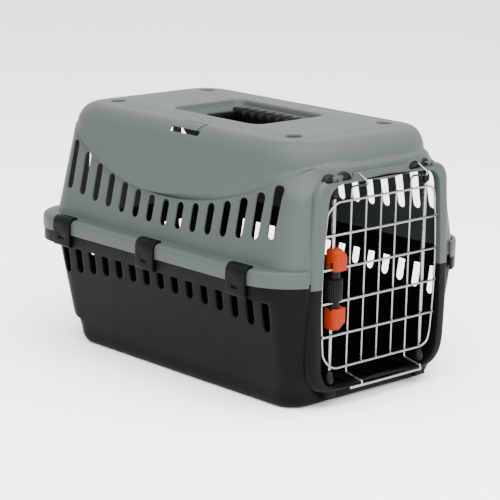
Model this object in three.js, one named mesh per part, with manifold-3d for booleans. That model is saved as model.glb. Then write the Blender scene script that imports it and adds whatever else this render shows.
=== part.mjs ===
// Pet transport carrier: two moulded shells, six clips, a folding handle and a wire door.
// Millimetres. +X is the doorway end, +Z is up, y = 0 is the middle plane.
// Everything is drawn from the seam between the shells (z = 0) and lifted to the floor at the end.
import * as THREE from 'three';
import { mergeVertices } from 'three/addons/utils/BufferGeometryUtils.js';
import Module from 'manifold-3d';

const wasm = await Module();
wasm.setup();

// ---- driving dimensions ----
const SEAM_HEIGHT = 144; // seam above the floor
const CENTRE_X = 8.7; // middle of the overall length, in drawing coordinates
const WALL = 1.9;
const GAP = 0.3; // between pieces that touch
const HALF_WIDTH = 140; // outer wall at the seam
const REAR_X = -203;
const FRONT_X = 211.5;
const REAR_RADIUS = 38;
const FRONT_RADIUS = 40;
const ROOF_Z = 144;
const SHOULDER_Z = 116;
const BAND_TOP = 120; // ledge in front of and behind the roof
const BULGE = 4.5; // how far the roof stands proud of the slotted band
const UPPER_LEAN = 0.21; // inward lean of the side walls per millimetre of height
const LOWER_LEAN = 0.156;
const RIM = { reach: 17, top: 14.5, rearReach: 14, frontReach: 3, cornerGain: 5 };
const SKIRT = { reach: 15.5, bottom: -17.5 };
const SLOT = { pitch: 24.264, perSide: 15, width: 9, reach: 170 };
const REAR_SLOTS = 7;
const COLLAR = { face: 214.5, back: 209, half: 113, top: 114, bottom: -126, topRadius: 30, bottomRadius: 38 };
const DOORWAY = { half: 94.8, top: 103.4, bottom: -120.7, topRadius: 25, bottomRadius: 30 };
const REBATE = { width: 4, front: 210.2 }; // the doorway is wider behind this plane
const POCKET = { from: 62, to: 83, z: 106.5, radius: 5.5, depth: 210.8 }; // lobes in the collar above a pivot
const WIRE = 1.4; // radius of the door's thin wires
const WIRE_PLANE = 207.8; // uprights and the loop's two sides
const BAR_PLANE = WIRE_PLANE + 2 * WIRE + GAP; // crossbars and the loop's top and bottom
const ROD = { radius: 2.3, x: 206.7, latchY: -72.5, hingeY: 72.5 };
const LOOP = { shift: 2, half: 90, top: 83.9, bottom: -100.1, topRadius: 18, bottomRadius: 22 };
const UPRIGHTS = [-47.1, -23.6, 0, 23.6, 47.1];
const CROSSBARS = [
  { z: 48.3, half: 89 },
  { z: 11.3, half: 92 },
  { z: -25.7, half: 92.5 },
  { z: -62.6, half: 90 },
];
const STOP_BAR = { x: 233, z: -116.9, from: -66, to: 47.5 };
const SOCKET = {
  back: 199.5, half: 8, hole: 3.3, notch: 3.6, sink: 6.6, top: 109.5, bottom: -127, sill: -119.8,
};
const LATCH = { x: 208.5, y: -70.5, radius: 9.5, core: 6.3, bottom: -32, top: 9, travel: 6.5 };
const GRIP = { x0: 201.5, x1: 217, y0: -77.5, y1: -57.5, length: 25, slope: 7 };
const CLIP = {
  places: [-148, 0, 148], half: 15, hingeY: 150.5, hingeZ: -14, pin: 1.5, pinHalf: 18.5, barrel: 3.6,
};
const HANDLE = {
  rear: -56, front: 58, pivotY: -14, pivotZ: 132, arm: 8,
  gripFrom: 22, gripTo: 46, gripBottom: 126, gripTop: 142,
};
const GRIP_POCKET = { count: 7, pitch: 14, half: 5, edge: 3, floor: 134 };
const PIN = { radius: 2.5, rear: -72, front: 68 };
const RECESS = {
  floor: 118, rear: -62, front: 62, half: 50, radius: 9,
  mouth: 150, mouthRear: -79, mouthFront: 68, mouthHalf: 55, mouthRadius: 12,
};
const REST = { from: 28, to: 42, top: 125.6 }; // blocks that the folded grip lies on
const DIMPLE = { x: [-152, 142], y: 71, radius: 10, depth: 2 };
const HOOK = { rear: -12, front: 32, inner: 93.5, outer: 126, gapBottom: 133.6, gapTop: 138.8, cut: 1.8 };

// ---- colours ----
const plastic = (colour, roughness = 0.6) => new THREE.MeshStandardMaterial({ color: colour, roughness });
const wireMetal = () => new THREE.MeshStandardMaterial({ color: 0xc9c9c6, roughness: 0.35, metalness: 1 });
const GREY_GREEN = 0x737d78;
const CHARCOAL = 0x2b2c2e;
const BLACK = 0x161616;
const ORANGE = 0xd7551e;

// ---- solids: joining, cutting and conversion ----
function solidOf(geometry) {
  const bare = geometry.clone();
  bare.deleteAttribute('normal');
  bare.deleteAttribute('uv');
  const merged = mergeVertices(bare, 1e-4);
  return new wasm.Manifold(new wasm.Mesh({
    numProp: 3,
    vertProperties: new Float32Array(merged.attributes.position.array),
    triVerts: new Uint32Array(merged.index.array),
  }));
}

function geometryOf(solid) {
  const mesh = solid.getMesh();
  const geometry = new THREE.BufferGeometry();
  geometry.setAttribute('position', new THREE.BufferAttribute(new Float32Array(mesh.vertProperties), 3));
  geometry.setIndex(new THREE.BufferAttribute(new Uint32Array(mesh.triVerts), 1));
  geometry.computeVertexNormals();
  return geometry;
}

const join = (...solids) => solids.reduce((sum, solid) => sum.add(solid));
const cut = (body, ...tools) => tools.reduce((rest, tool) => rest.subtract(tool), body);

const carrier = new THREE.Group();
carrier.position.set(-CENTRE_X, 0, SEAM_HEIGHT);

function piece(name, shape, material) {
  const mesh = new THREE.Mesh(shape.isBufferGeometry ? shape : geometryOf(shape), material);
  mesh.name = name;
  carrier.add(mesh);
  return mesh;
}

// ---- basic shapes ----
function box(x0, x1, y0, y1, z0, z1) {
  const geometry = new THREE.BoxGeometry(x1 - x0, y1 - y0, z1 - z0);
  return solidOf(geometry.translate((x0 + x1) / 2, (y0 + y1) / 2, (z0 + z1) / 2));
}

const AXIS_X = new THREE.Vector3(1, 0, 0);
const AXIS_Y = new THREE.Vector3(0, 1, 0);
const AXIS_Z = new THREE.Vector3(0, 0, 1);

// A shape drawn in (y, z), pushed along x.
function prismX(shape, x0, x1, curveSegments = 5) {
  const geometry = new THREE.ExtrudeGeometry(shape, { depth: x1 - x0, bevelEnabled: false, curveSegments });
  geometry.applyMatrix4(new THREE.Matrix4().makeBasis(AXIS_Y, AXIS_Z, AXIS_X));
  return solidOf(geometry.translate(x0, 0, 0));
}

// A shape drawn in (x, z), pushed along y.
function prismY(shape, y0, y1, curveSegments = 2) {
  const geometry = new THREE.ExtrudeGeometry(shape, { depth: y1 - y0, bevelEnabled: false, curveSegments });
  geometry.applyMatrix4(new THREE.Matrix4().makeBasis(AXIS_X, AXIS_Z, AXIS_Y.clone().negate()));
  return solidOf(geometry.translate(0, y1, 0));
}

function rodGeometry(from, to, radius, sides = 10) {
  const start = new THREE.Vector3(...from);
  const axis = new THREE.Vector3(...to).sub(start);
  const geometry = new THREE.CylinderGeometry(radius, radius, axis.length(), sides);
  geometry.translate(0, axis.length() / 2, 0);
  geometry.applyQuaternion(new THREE.Quaternion().setFromUnitVectors(AXIS_Y, axis.clone().normalize()));
  return geometry.translate(...from);
}

const rod = (from, to, radius, sides) => solidOf(rodGeometry(from, to, radius, sides));

// A turned piece on a vertical axis: profile is a list of [radius, z] that starts and ends on the axis.
function turned(x, y, profile, sides = 12) {
  const points = profile.map(([radius, z]) => new THREE.Vector2(radius, z));
  const geometry = new THREE.LatheGeometry(points, sides);
  geometry.rotateX(Math.PI / 2);
  return solidOf(geometry.translate(x, y, 0));
}

// A round wire along a list of points, closed into a ring or with flat ends.
function wire(points, radius, { closed = false, sides = 6, side = AXIS_Y } = {}) {
  const count = points.length;
  const positions = [];
  const index = [];
  points.forEach((point, i) => {
    const before = points[closed ? (i + count - 1) % count : Math.max(i - 1, 0)];
    const after = points[closed ? (i + 1) % count : Math.min(i + 1, count - 1)];
    const along = after.clone().sub(before).normalize();
    const across = new THREE.Vector3().crossVectors(side, along).normalize();
    const up = new THREE.Vector3().crossVectors(along, across);
    for (let k = 0; k < sides; k++) {
      const angle = (2 * Math.PI * k) / sides;
      const rim = point.clone().addScaledVector(across, radius * Math.cos(angle));
      positions.push(...rim.addScaledVector(up, radius * Math.sin(angle)).toArray());
    }
  });
  for (let i = 0; i < (closed ? count : count - 1); i++) {
    for (let k = 0; k < sides; k++) {
      const a = i * sides + k;
      const b = i * sides + ((k + 1) % sides);
      const c = ((i + 1) % count) * sides + k;
      const d = ((i + 1) % count) * sides + ((k + 1) % sides);
      index.push(a, b, c, b, d, c);
    }
  }
  if (!closed) {
    const last = (count - 1) * sides;
    for (let k = 1; k < sides - 1; k++) {
      index.push(0, k + 1, k, last, last + k, last + k + 1);
    }
  }
  const geometry = new THREE.BufferGeometry();
  geometry.setAttribute('position', new THREE.Float32BufferAttribute(positions, 3));
  geometry.setIndex(index);
  return geometry;
}

// ---- shell outlines: rounded rectangles seen from above, stacked into a loft ----
const CORNER_STEPS = 6;

function outline({ z, rear, front, half, rearRadius, frontRadius }) {
  const corners = [
    [front - frontRadius, half - frontRadius, frontRadius, 0],
    [rear + rearRadius, half - rearRadius, rearRadius, 1],
    [rear + rearRadius, rearRadius - half, rearRadius, 2],
    [front - frontRadius, frontRadius - half, frontRadius, 3],
  ];
  return corners.flatMap(([cx, cy, radius, quarter]) =>
    Array.from({ length: CORNER_STEPS + 1 }, (_, k) => {
      const angle = (Math.PI / 2) * (quarter + k / CORNER_STEPS);
      return [cx + radius * Math.cos(angle), cy + radius * Math.sin(angle), z];
    }));
}

function loft(levels) {
  const rings = levels.map(outline);
  const count = rings[0].length;
  const positions = rings.flat(2);
  const index = [];
  for (let i = 0; i < rings.length - 1; i++) {
    for (let k = 0; k < count; k++) {
      const a = i * count + k;
      const b = i * count + ((k + 1) % count);
      index.push(a, b, a + count, b, b + count, a + count);
    }
  }
  const top = (rings.length - 1) * count;
  for (let k = 1; k < count - 1; k++) {
    index.push(0, k + 1, k, top, top + k, top + k + 1);
  }
  const geometry = new THREE.BufferGeometry();
  geometry.setAttribute('position', new THREE.Float32BufferAttribute(positions, 3));
  geometry.setIndex(index);
  return solidOf(geometry);
}

// Outline at the seam, moved outward by reach.
function seamOutline(z, reach) {
  const share = reach / RIM.reach;
  return {
    z,
    rear: REAR_X - RIM.rearReach * share,
    front: FRONT_X + RIM.frontReach * share,
    half: HALF_WIDTH + reach,
    rearRadius: REAR_RADIUS + reach,
    frontRadius: FRONT_RADIUS + reach + RIM.cornerGain * share,
  };
}

// ---- upper shell ----
// The slotted band between the seam and the roof.
function bandOutline(z, inset) {
  return {
    z,
    rear: REAR_X + 0.07 * z + inset,
    front: FRONT_X - 0.04 * z - inset,
    half: HALF_WIDTH - UPPER_LEAN * z - inset,
    rearRadius: REAR_RADIUS - 0.05 * z - inset,
    frontRadius: FRONT_RADIUS - 0.05 * z - inset,
  };
}

// The roof: it stands proud of the band and rounds over the shoulders.
const SHOULDER = { side: 25, front: 31, rear: 18, frontLip: 7, rearLip: 10, cornerGain: 12, radiusLoss: 4 };

function roofOutline(z, inset) {
  const base = bandOutline(Math.min(z, SHOULDER_Z), inset - BULGE);
  const rise = Math.min(Math.max((z + inset - SHOULDER_Z) / (ROOF_Z - SHOULDER_Z), 0), 1);
  const tuck = 1 - Math.sqrt(1 - rise * rise);
  return {
    z,
    rear: base.rear + SHOULDER.rearLip + SHOULDER.rear * tuck,
    front: base.front - SHOULDER.frontLip - SHOULDER.front * tuck,
    half: base.half - SHOULDER.side * tuck,
    rearRadius: base.rearRadius - SHOULDER.radiusLoss * tuck,
    frontRadius: base.frontRadius + SHOULDER.cornerGain - SHOULDER.radiusLoss * tuck,
  };
}

function roofLoft(inset) {
  const top = ROOF_Z - inset;
  const steps = [0, 0.3, 0.55, 0.75, 0.9, 0.97, 1];
  const shoulder = steps.map((step) => roofOutline(SHOULDER_Z - inset + (ROOF_Z - SHOULDER_Z) * step, inset));
  const levels = [roofOutline(55, inset), ...shoulder];
  if (inset === 0) {
    const edge = levels[levels.length - 1];
    levels.push({ ...edge, z: top + 1.5, rear: edge.rear + 30, front: edge.front - 30, half: edge.half - 30 });
  }
  return loft(levels);
}

// Lower edge of the roof seen from the side: a shallow U between two raised ends.
const hollowCurve = (x) => 64 + 43 * (x / SLOT.reach) ** 2;

function roofRegion(lift) {
  const points = [];
  for (let x = -SLOT.reach; x <= SLOT.reach; x += SLOT.reach / 8) {
    points.push(new THREE.Vector2(x, hollowCurve(x) + lift));
  }
  points.push(new THREE.Vector2(203, 114 + lift), new THREE.Vector2(240, 114 + lift));
  points.push(new THREE.Vector2(240, 170), new THREE.Vector2(-240, 170));
  points.push(new THREE.Vector2(-240, 114 + lift), new THREE.Vector2(-196, 114 + lift));
  return prismY(new THREE.Shape(points), -180, 180);
}

function bandLoft(inset, bottom) {
  return loft([bottom, 60, 112, BAND_TOP - inset].map((z) => bandOutline(z, inset)));
}

// An upright slot with a round end at each end, or a flat top.
function slotShape(centre, bottom, top, flatTop = false) {
  const r = SLOT.width / 2;
  const shape = new THREE.Shape();
  shape.absarc(centre, bottom + r, r, Math.PI, 2 * Math.PI, false);
  if (flatTop) {
    shape.lineTo(centre + r, top);
    shape.lineTo(centre - r, top);
  } else {
    shape.absarc(centre, top - r, r, 0, Math.PI, false);
  }
  shape.closePath();
  return shape;
}

function slotPlaces(count) {
  return Array.from({ length: count }, (_, i) => SLOT.pitch * (i - (count - 1) / 2));
}

function upperSlots() {
  const sides = slotPlaces(SLOT.perSide).map((x) => {
    const bow = (x / SLOT.reach) ** 2;
    return prismY(slotShape(x, 30 + 14.5 * bow, 59.4 + 42 * bow), -180, 180);
  });
  const rear = slotPlaces(REAR_SLOTS).map((y) => prismX(slotShape(y, 46, 100), -240, -170, 2));
  return [...sides, ...rear];
}

// The doorway and the collar round it: straight top and bottom, bowed sides, round corners.
function doorwayShape({ half, top, bottom, topRadius, bottomRadius }, grow = 0) {
  const shape = new THREE.Shape();
  const topHalf = half - 6.5 + grow;
  const bottomHalf = half - 2 + grow;
  const up = topRadius + grow;
  const down = bottomRadius + grow;
  shape.moveTo(-bottomHalf + down, bottom - grow);
  shape.lineTo(bottomHalf - down, bottom - grow);
  shape.quadraticCurveTo(bottomHalf, bottom - grow, bottomHalf, bottom + down);
  shape.quadraticCurveTo(half + 2.5 + grow, (top + bottom) / 2, topHalf, top - up);
  shape.quadraticCurveTo(topHalf, top + grow, topHalf - up, top + grow);
  shape.lineTo(-topHalf + up, top + grow);
  shape.quadraticCurveTo(-topHalf, top + grow, -topHalf, top - up);
  shape.quadraticCurveTo(-half - 2.5 - grow, (top + bottom) / 2, -bottomHalf, bottom + down);
  shape.quadraticCurveTo(-bottomHalf, bottom - grow, -bottomHalf + down, bottom - grow);
  return shape;
}

const collarSolid = () => prismX(doorwayShape(COLLAR), COLLAR.back, COLLAR.face);
// The hole through the collar, wider behind it where the door's wires lie.
const doorwaySolid = () => join(
  prismX(doorwayShape(DOORWAY), 150, 240),
  prismX(doorwayShape(DOORWAY, REBATE.width), 150, REBATE.front),
);
const HUGE = 400;
const aboveSeam = () => box(-HUGE, HUGE, -HUGE, HUGE, GAP / 2, HUGE);
const belowSeam = () => box(-HUGE, HUGE, -HUGE, HUGE, -HUGE, -GAP / 2);

// A ring round the outside of the shells, open at the front where the collar stands.
function seamRing(levels) {
  return cut(loft(levels), box(150, 240, -COLLAR.half, COLLAR.half, -60, 60));
}

// Two round lobes in the collar above each pivot, joined by a band.
function pivotPocket(side) {
  const { from, to, z, radius, depth } = POCKET;
  const lobe = (y) => {
    const shape = new THREE.Shape();
    shape.absarc(side * y, z, radius, 0, 2 * Math.PI, false);
    return prismX(shape, depth, 220);
  };
  const [left, right] = side > 0 ? [from, to] : [-to, -from];
  return join(lobe(from), lobe(to), box(depth, 220, left, right, z - radius, z + 0.5));
}

function socketBlocks(z0, z1) {
  const { back, half } = SOCKET;
  return [ROD.latchY, ROD.hingeY].map((y) => box(back, REBATE.front + 0.5, y - half, y + half, z0, z1));
}

// The hinge side keeps its pivot in a round hole; the latch side is a notch open to the front.
function pivotHole(z0, z1) {
  return rod([ROD.x, ROD.hingeY, z0], [ROD.x, ROD.hingeY, z1], SOCKET.hole, 12);
}

function latchNotch(z0, z1) {
  const round = rod([ROD.x, ROD.latchY, z0], [ROD.x, ROD.latchY, z1], SOCKET.notch, 12);
  return join(round, box(ROD.x, 240, ROD.latchY - SOCKET.notch, ROD.latchY + SOCKET.notch, z0, z1));
}

function recessLoft(grow) {
  const { floor, rear, front, half, radius, mouth, mouthRear, mouthFront, mouthHalf, mouthRadius } = RECESS;
  const level = (z, x0, x1, halfWidth, round) => ({
    z, rear: x0 - grow, front: x1 + grow, half: halfWidth + grow,
    rearRadius: round + grow, frontRadius: round + grow,
  });
  return loft([
    level(floor - grow, rear, front, half, radius),
    level(mouth, mouthRear, mouthFront, mouthHalf, mouthRadius),
  ]);
}

const handleRests = () => [
  box(HANDLE.rear, HANDLE.rear + HANDLE.arm, REST.from, REST.to, RECESS.floor - 1, REST.top),
  box(HANDLE.front - HANDLE.arm, HANDLE.front, REST.from, REST.to, RECESS.floor - 1, REST.top),
];

const pinHoles = () => [[PIN.rear - 6, HANDLE.rear], [HANDLE.front, PIN.front + 8]].map(([x0, x1]) =>
  rod([x0, HANDLE.pivotY, HANDLE.pivotZ], [x1, HANDLE.pivotY, HANDLE.pivotZ], PIN.radius + GAP + 0.1));

const dimples = () => DIMPLE.x.flatMap((x) => [-DIMPLE.y, DIMPLE.y].map((y) =>
  rod([x, y, ROOF_Z - DIMPLE.depth], [x, y, 160], DIMPLE.radius, 16)));

// A tongue cut free on three sides in each shoulder, for a seat belt to pass under.
function hookCuts(side) {
  const y = (value) => side * value;
  const span = (x0, x1, a, b, z0, z1) => box(x0, x1, Math.min(y(a), y(b)), Math.max(y(a), y(b)), z0, z1);
  const { rear, front, inner, outer, gapBottom, gapTop, cut: width } = HOOK;
  return [
    span(rear, front + 4, inner + 10.5, outer, gapBottom, gapTop),
    span(rear + 4, front, inner, inner + width, gapBottom - 0.4, 150),
    span(front - width - 0.7, front, inner, outer, gapBottom + 0.5, 150),
  ];
}

function upperShell() {
  const rim = seamRing([
    seamOutline(-5, RIM.reach),
    seamOutline(RIM.top - 7, RIM.reach),
    seamOutline(RIM.top - 2.2, RIM.reach - 2),
    seamOutline(RIM.top, RIM.reach - 7.5),
  ]);
  const channel = cut(
    loft([seamOutline(-5, RIM.reach - 2.8), seamOutline(RIM.top - 3.5, RIM.reach - 3.5)]),
    loft([seamOutline(-6, 2), seamOutline(12, 1)]),
    box(196, 240, -HALF_WIDTH, HALF_WIDTH, -60, 60),
  );
  const outside = join(bandLoft(0, -5), roofLoft(0).intersect(roofRegion(0)), collarSolid(), rim);
  const hollow = join(bandLoft(WALL, -6), roofLoft(WALL).intersect(roofRegion(3.5)));
  const cabin = cut(hollow, recessLoft(WALL));
  let shell = cut(outside, cabin, channel, recessLoft(0), doorwaySolid());
  shell = join(shell, ...socketBlocks(DOORWAY.top, COLLAR.top - 2), ...handleRests());
  shell = cut(shell, ...upperSlots(), ...dimples(), ...pinHoles(), ...hookCuts(1), ...hookCuts(-1));
  const sockets = [pivotHole(98, SOCKET.top), latchNotch(98, SOCKET.top - 1)];
  shell = cut(shell, pivotPocket(1), pivotPocket(-1), ...sockets);
  return shell.intersect(aboveSeam());
}

// ---- lower shell ----
function trayOutline(z, inset) {
  const depth = -z;
  const step = depth > 114 ? 6 : 0; // the foot is set in at the rear
  return {
    z,
    rear: REAR_X + 0.16 * depth + step + inset,
    front: FRONT_X - 0.05 * depth - (depth > 130 ? 6 : 0) - inset,
    half: HALF_WIDTH - LOWER_LEAN * depth - inset,
    rearRadius: REAR_RADIUS - 0.05 * depth - inset,
    frontRadius: FRONT_RADIUS - 0.05 * depth - inset,
  };
}

function trayLoft(inset) {
  const floor = inset ? SEAM_HEIGHT - WALL - 0.5 : SEAM_HEIGHT;
  const levels = [trayOutline(-floor, inset + 3), trayOutline(3 - floor, inset), trayOutline(-118, inset)];
  const rising = [trayOutline(-112, inset), trayOutline(-60, inset), { ...trayOutline(0, inset), z: 5 }];
  return loft([...levels, ...rising]);
}

function lowerSlots() {
  const sides = slotPlaces(SLOT.perSide).map((x) => {
    const bow = (x / SLOT.reach) ** 2;
    return prismY(slotShape(x, -43.4 - 13.5 * bow, -25, true), -180, 180);
  });
  const rear = slotPlaces(REAR_SLOTS).map((y) => prismX(slotShape(y, -50, -25, true), -240, -165, 2));
  return [...sides, ...rear];
}

const clipPlaces = () => CLIP.places.flatMap((x) => [-1, 1].map((side) => ({ x, side })));

function clipNotches() {
  return clipPlaces().flatMap(({ x, side }) => {
    const from = Math.min(side * 146, side * 170);
    const notch = box(x - CLIP.half - 0.6, x + CLIP.half + 0.6, from, from + 24, -40, CLIP.hingeZ + 4.4);
    const y = side * CLIP.hingeY;
    return [notch, rod([x - 19, y, CLIP.hingeZ], [x + 19, y, CLIP.hingeZ], CLIP.pin + GAP)];
  });
}

function skirtChannel() {
  const ring = cut(
    loft([seamOutline(-30, SKIRT.reach - 3), seamOutline(-6.8, SKIRT.reach - 3)]),
    loft([seamOutline(-31, 1.5), seamOutline(-5, 1.5)]),
  );
  const lugs = clipPlaces().map(({ x, side }) => {
    const from = Math.min(side * 138, side * 170);
    return box(x - 22, x + 22, from, from + 32, -40, 0);
  });
  return cut(ring, ...lugs, box(196, 240, -HALF_WIDTH, HALF_WIDTH, -60, 60));
}

function lowerShell() {
  const skirt = seamRing([seamOutline(SKIRT.bottom, SKIRT.reach), seamOutline(5, SKIRT.reach)]);
  let shell = cut(join(trayLoft(0), collarSolid(), skirt), doorwaySolid(), trayLoft(WALL));
  const within = join(trayLoft(0), collarSolid());
  const blocks = socketBlocks(-142, DOORWAY.bottom).map((block) => block.intersect(within));
  const sinks = [ROD.latchY, ROD.hingeY].map((y) =>
    rod([ROD.x, y, SOCKET.sill], [ROD.x, y, -100], SOCKET.sink, 12));
  shell = join(shell, ...blocks);
  shell = cut(shell, ...lowerSlots(), skirtChannel(), ...clipNotches(), ...sinks);
  shell = cut(shell, pivotHole(SOCKET.bottom, -115), latchNotch(SOCKET.bottom, -115));
  return shell.intersect(belowSeam());
}

// ---- clips and their pins ----
// Section of a clip, [distance from the middle plane, height]: foot, strap, and the hook over the rim.
const CLIP_SECTION = [
  [150.5, -17.6], [158.2, -17.6], [160, -15.5], [160, 9], [157.8, 14.4], [153, 17.2], [147, 17.2],
  [147, 14.9], [149.8, 14.9], [155.4, 12.8], [157.4, 8.1], [157.4, -10.4], [150.5, -10.4],
];
const PRY_SLOT = { half: 5, depth: 155, bottom: -8.5, top: -5.5 };

function clipSolid(x, side) {
  const points = CLIP_SECTION.map(([y, z]) => new THREE.Vector2(side * y, z));
  const strap = prismX(new THREE.Shape(points), x - CLIP.half, x + CLIP.half);
  const y = side * CLIP.hingeY;
  const barrel = rod([x - CLIP.half, y, CLIP.hingeZ], [x + CLIP.half, y, CLIP.hingeZ], CLIP.barrel, 12);
  const bore = rod([x - 30, y, CLIP.hingeZ], [x + 30, y, CLIP.hingeZ], CLIP.pin + GAP, 10);
  const from = Math.min(side * PRY_SLOT.depth, side * (PRY_SLOT.depth + 10));
  const slit = box(x - PRY_SLOT.half, x + PRY_SLOT.half, from, from + 10, PRY_SLOT.bottom, PRY_SLOT.top);
  return cut(join(strap, barrel), bore, slit);
}

function addClips() {
  const along = ['rear', 'middle', 'front'];
  clipPlaces().forEach(({ x, side }) => {
    const place = `${side > 0 ? 'right' : 'left'}_${along[CLIP.places.indexOf(x)]}`;
    piece(`clip_${place}`, clipSolid(x, side), plastic(CHARCOAL));
    const y = side * CLIP.hingeY;
    const pin = rod([x - CLIP.pinHalf, y, CLIP.hingeZ], [x + CLIP.pinHalf, y, CLIP.hingeZ], CLIP.pin, 8);
    piece(`clip_pin_${place}`, pin, wireMetal());
  });
}

// ---- carry handle ----
function handleSolid() {
  const { rear, front, pivotY, pivotZ, gripFrom, gripTo, gripBottom, gripTop, arm } = HANDLE;
  const { count, pitch, half, edge, floor } = GRIP_POCKET;
  const grip = box(rear, front, gripFrom, gripTo, gripBottom, gripTop);
  const armShape = new THREE.Shape();
  armShape.absarc(pivotY, pivotZ, 6, Math.PI / 2, 1.5 * Math.PI, false);
  armShape.lineTo(gripFrom + 4, pivotZ - 6);
  armShape.lineTo(gripFrom + 4, pivotZ + 6);
  armShape.closePath();
  const arms = [rear, front - arm].map((x) => prismX(armShape, x, x + arm));
  const bore = rod([rear - 5, pivotY, pivotZ], [front + 5, pivotY, pivotZ], PIN.radius + GAP);
  const pockets = Array.from({ length: count }, (_, i) => {
    const x = (rear + front) / 2 + (i - (count - 1) / 2) * pitch;
    return box(x - half, x + half, gripFrom + edge, gripTo - edge, floor, 150);
  });
  return cut(join(grip, ...arms), bore, ...pockets);
}

function addHandle() {
  piece('carry_handle', handleSolid(), plastic(BLACK, 0.5));
  const { pivotY, pivotZ } = HANDLE;
  const pin = (x0, x1) => rod([x0, pivotY, pivotZ], [x1, pivotY, pivotZ], PIN.radius);
  piece('handle_pin_rear', pin(PIN.rear, HANDLE.rear + HANDLE.arm), plastic(BLACK));
  piece('handle_pin_front', pin(HANDLE.front - HANDLE.arm, PIN.front), plastic(BLACK));
}

// ---- wire door ----
const smooth = (t) => {
  const s = Math.min(Math.max((t - 0.1) / 0.55, 0), 1);
  return s * s * (3 - 2 * s);
};

// The loop lies behind the crossbars at its sides and in front of the uprights above and below.
function doorLoop() {
  const points = [];
  const corner = (cy, cz, radius, quarter, steps) => {
    for (let k = 0; k <= steps; k++) {
      const angle = (Math.PI / 2) * (quarter + k / steps);
      const rise = quarter % 2 ? 1 - k / steps : k / steps;
      const x = WIRE_PLANE + (BAR_PLANE - WIRE_PLANE) * smooth(rise);
      points.push(new THREE.Vector3(x, cy + radius * Math.cos(angle), cz + radius * Math.sin(angle)));
    }
  };
  const { shift, half, top, bottom, topRadius, bottomRadius } = LOOP;
  const topHalf = half - 4;
  const bottomHalf = half - 3;
  const bow = (side) => [0.25, 0.5, 0.75].forEach((t) => {
    const s = side > 0 ? t : 1 - t;
    const z = (bottom + bottomRadius) * (1 - s) + (top - topRadius) * s;
    const width = bottomHalf + (topHalf - bottomHalf) * s + 16 * s * (1 - s);
    points.push(new THREE.Vector3(WIRE_PLANE, shift + side * width, z));
  });
  bow(1);
  corner(shift + topHalf - topRadius, top - topRadius, topRadius, 0, 6);
  corner(shift - topHalf + topRadius, top - topRadius, topRadius, 1, 6);
  bow(-1);
  corner(shift - bottomHalf + bottomRadius, bottom + bottomRadius, bottomRadius, 2, 6);
  corner(shift + bottomHalf - bottomRadius, bottom + bottomRadius, bottomRadius, 3, 6);
  return wire(points, WIRE, { closed: true, side: AXIS_X });
}

// Outer uprights run on past the loop: forward below to the stop bar, and forward and back above.
const HOOKED_ROUTE = [
  [232.6, -115.2], [232.6, -113.4], [230.6, -112.2], [214, -109.6], [209.4, -108.4], [WIRE_PLANE, -105],
  [WIRE_PLANE, -60], [WIRE_PLANE, 0], [WIRE_PLANE, 60], [WIRE_PLANE, 95],
  [209.4, 98], [213.5, 99.4], [229, 102.6], [231.2, 104.4], [230, 106.8], [216, 113.6],
];
const hookedUpright = (y) => solidOf(wire(HOOKED_ROUTE.map(([x, z]) => new THREE.Vector3(x, y, z)), WIRE));

function addDoorWires() {
  piece('door_loop', solidOf(doorLoop()), wireMetal());
  UPRIGHTS.forEach((y, i) => {
    const hooked = i === 0 || i === UPRIGHTS.length - 1;
    const straight = () => rod([WIRE_PLANE, y, LOOP.bottom - 2], [WIRE_PLANE, y, LOOP.top + 2], WIRE, 8);
    piece(`door_upright_${i + 1}`, hooked ? hookedUpright(y) : straight(), wireMetal());
  });
  CROSSBARS.forEach(({ z, half }, i) => {
    piece(`door_crossbar_${i + 1}`, rod([BAR_PLANE, -half, z], [BAR_PLANE, half, z], WIRE, 8), wireMetal());
  });
  const { x, z, from, to } = STOP_BAR;
  piece('door_stop_bar', rod([x, from, z], [x, to, z], WIRE, 8), wireMetal());
}

// ---- rods and the caps on their ends ----
// Cap profiles, [radius, height].
const UPPER_CAP = [[0, 88], [3, 88], [4.3, 91], [4.3, 96], [2.9, 98], [2.9, 106], [0, 106]];
const LOWER_CAP = [
  [0, -125], [2.9, -125], [2.9, -119.5], [5.2, -116], [5.6, -111], [4, -105.5], [2.6, -103], [0, -103],
];
const CAP = { topFrom: UPPER_CAP[0][1], lowFrom: LOWER_CAP[LOWER_CAP.length - 1][1] };
const upperCap = (y) => turned(ROD.x, y, UPPER_CAP);
const lowerCap = (y) => turned(ROD.x, y, LOWER_CAP);

// A latch tip has a flat front where it slides past the door's loop.
const TIP_FLAT = { depth: 2.4, upper: 91.5, lower: -109 };
function latchTip(up) {
  const [z0, z1] = up > 0 ? [CAP.topFrom - 1, TIP_FLAT.upper] : [TIP_FLAT.lower, CAP.lowFrom + 1];
  const y = ROD.latchY;
  return cut(up > 0 ? upperCap(y) : lowerCap(y), box(ROD.x + TIP_FLAT.depth, 240, y - 10, y + 10, z0, z1));
}

function addHinge() {
  const y = ROD.hingeY;
  const hingeRod = rod([ROD.x, y, CAP.lowFrom + GAP], [ROD.x, y, CAP.topFrom - GAP], ROD.radius);
  piece('door_hinge_rod', hingeRod, wireMetal());
  piece('hinge_cap_upper', upperCap(y), plastic(BLACK));
  piece('hinge_cap_lower', lowerCap(y), plastic(BLACK));
}

// ---- squeeze latch ----
const LATCH_MIDDLE = (CROSSBARS[1].z + CROSSBARS[2].z) / 2;
const SPRING = { seat: 1.5, length: 11.5, coil: 3.3, wire: 0.5, turns: 4 };
const FLANGE = { radius: 4, height: 1.6 };
const BORE = 4.4;
const GUIDE = BORE + 1.6;
const TAIL = 8; // how far the housing runs up inside each grip

const upright = (x, y) => (z0, z1, radius, sides) => rod([x, y, z0], [x, y, z1], radius, sides);
const latchRound = upright(LATCH.x, LATCH.y);
const rodRound = upright(ROD.x, ROD.latchY);

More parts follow.
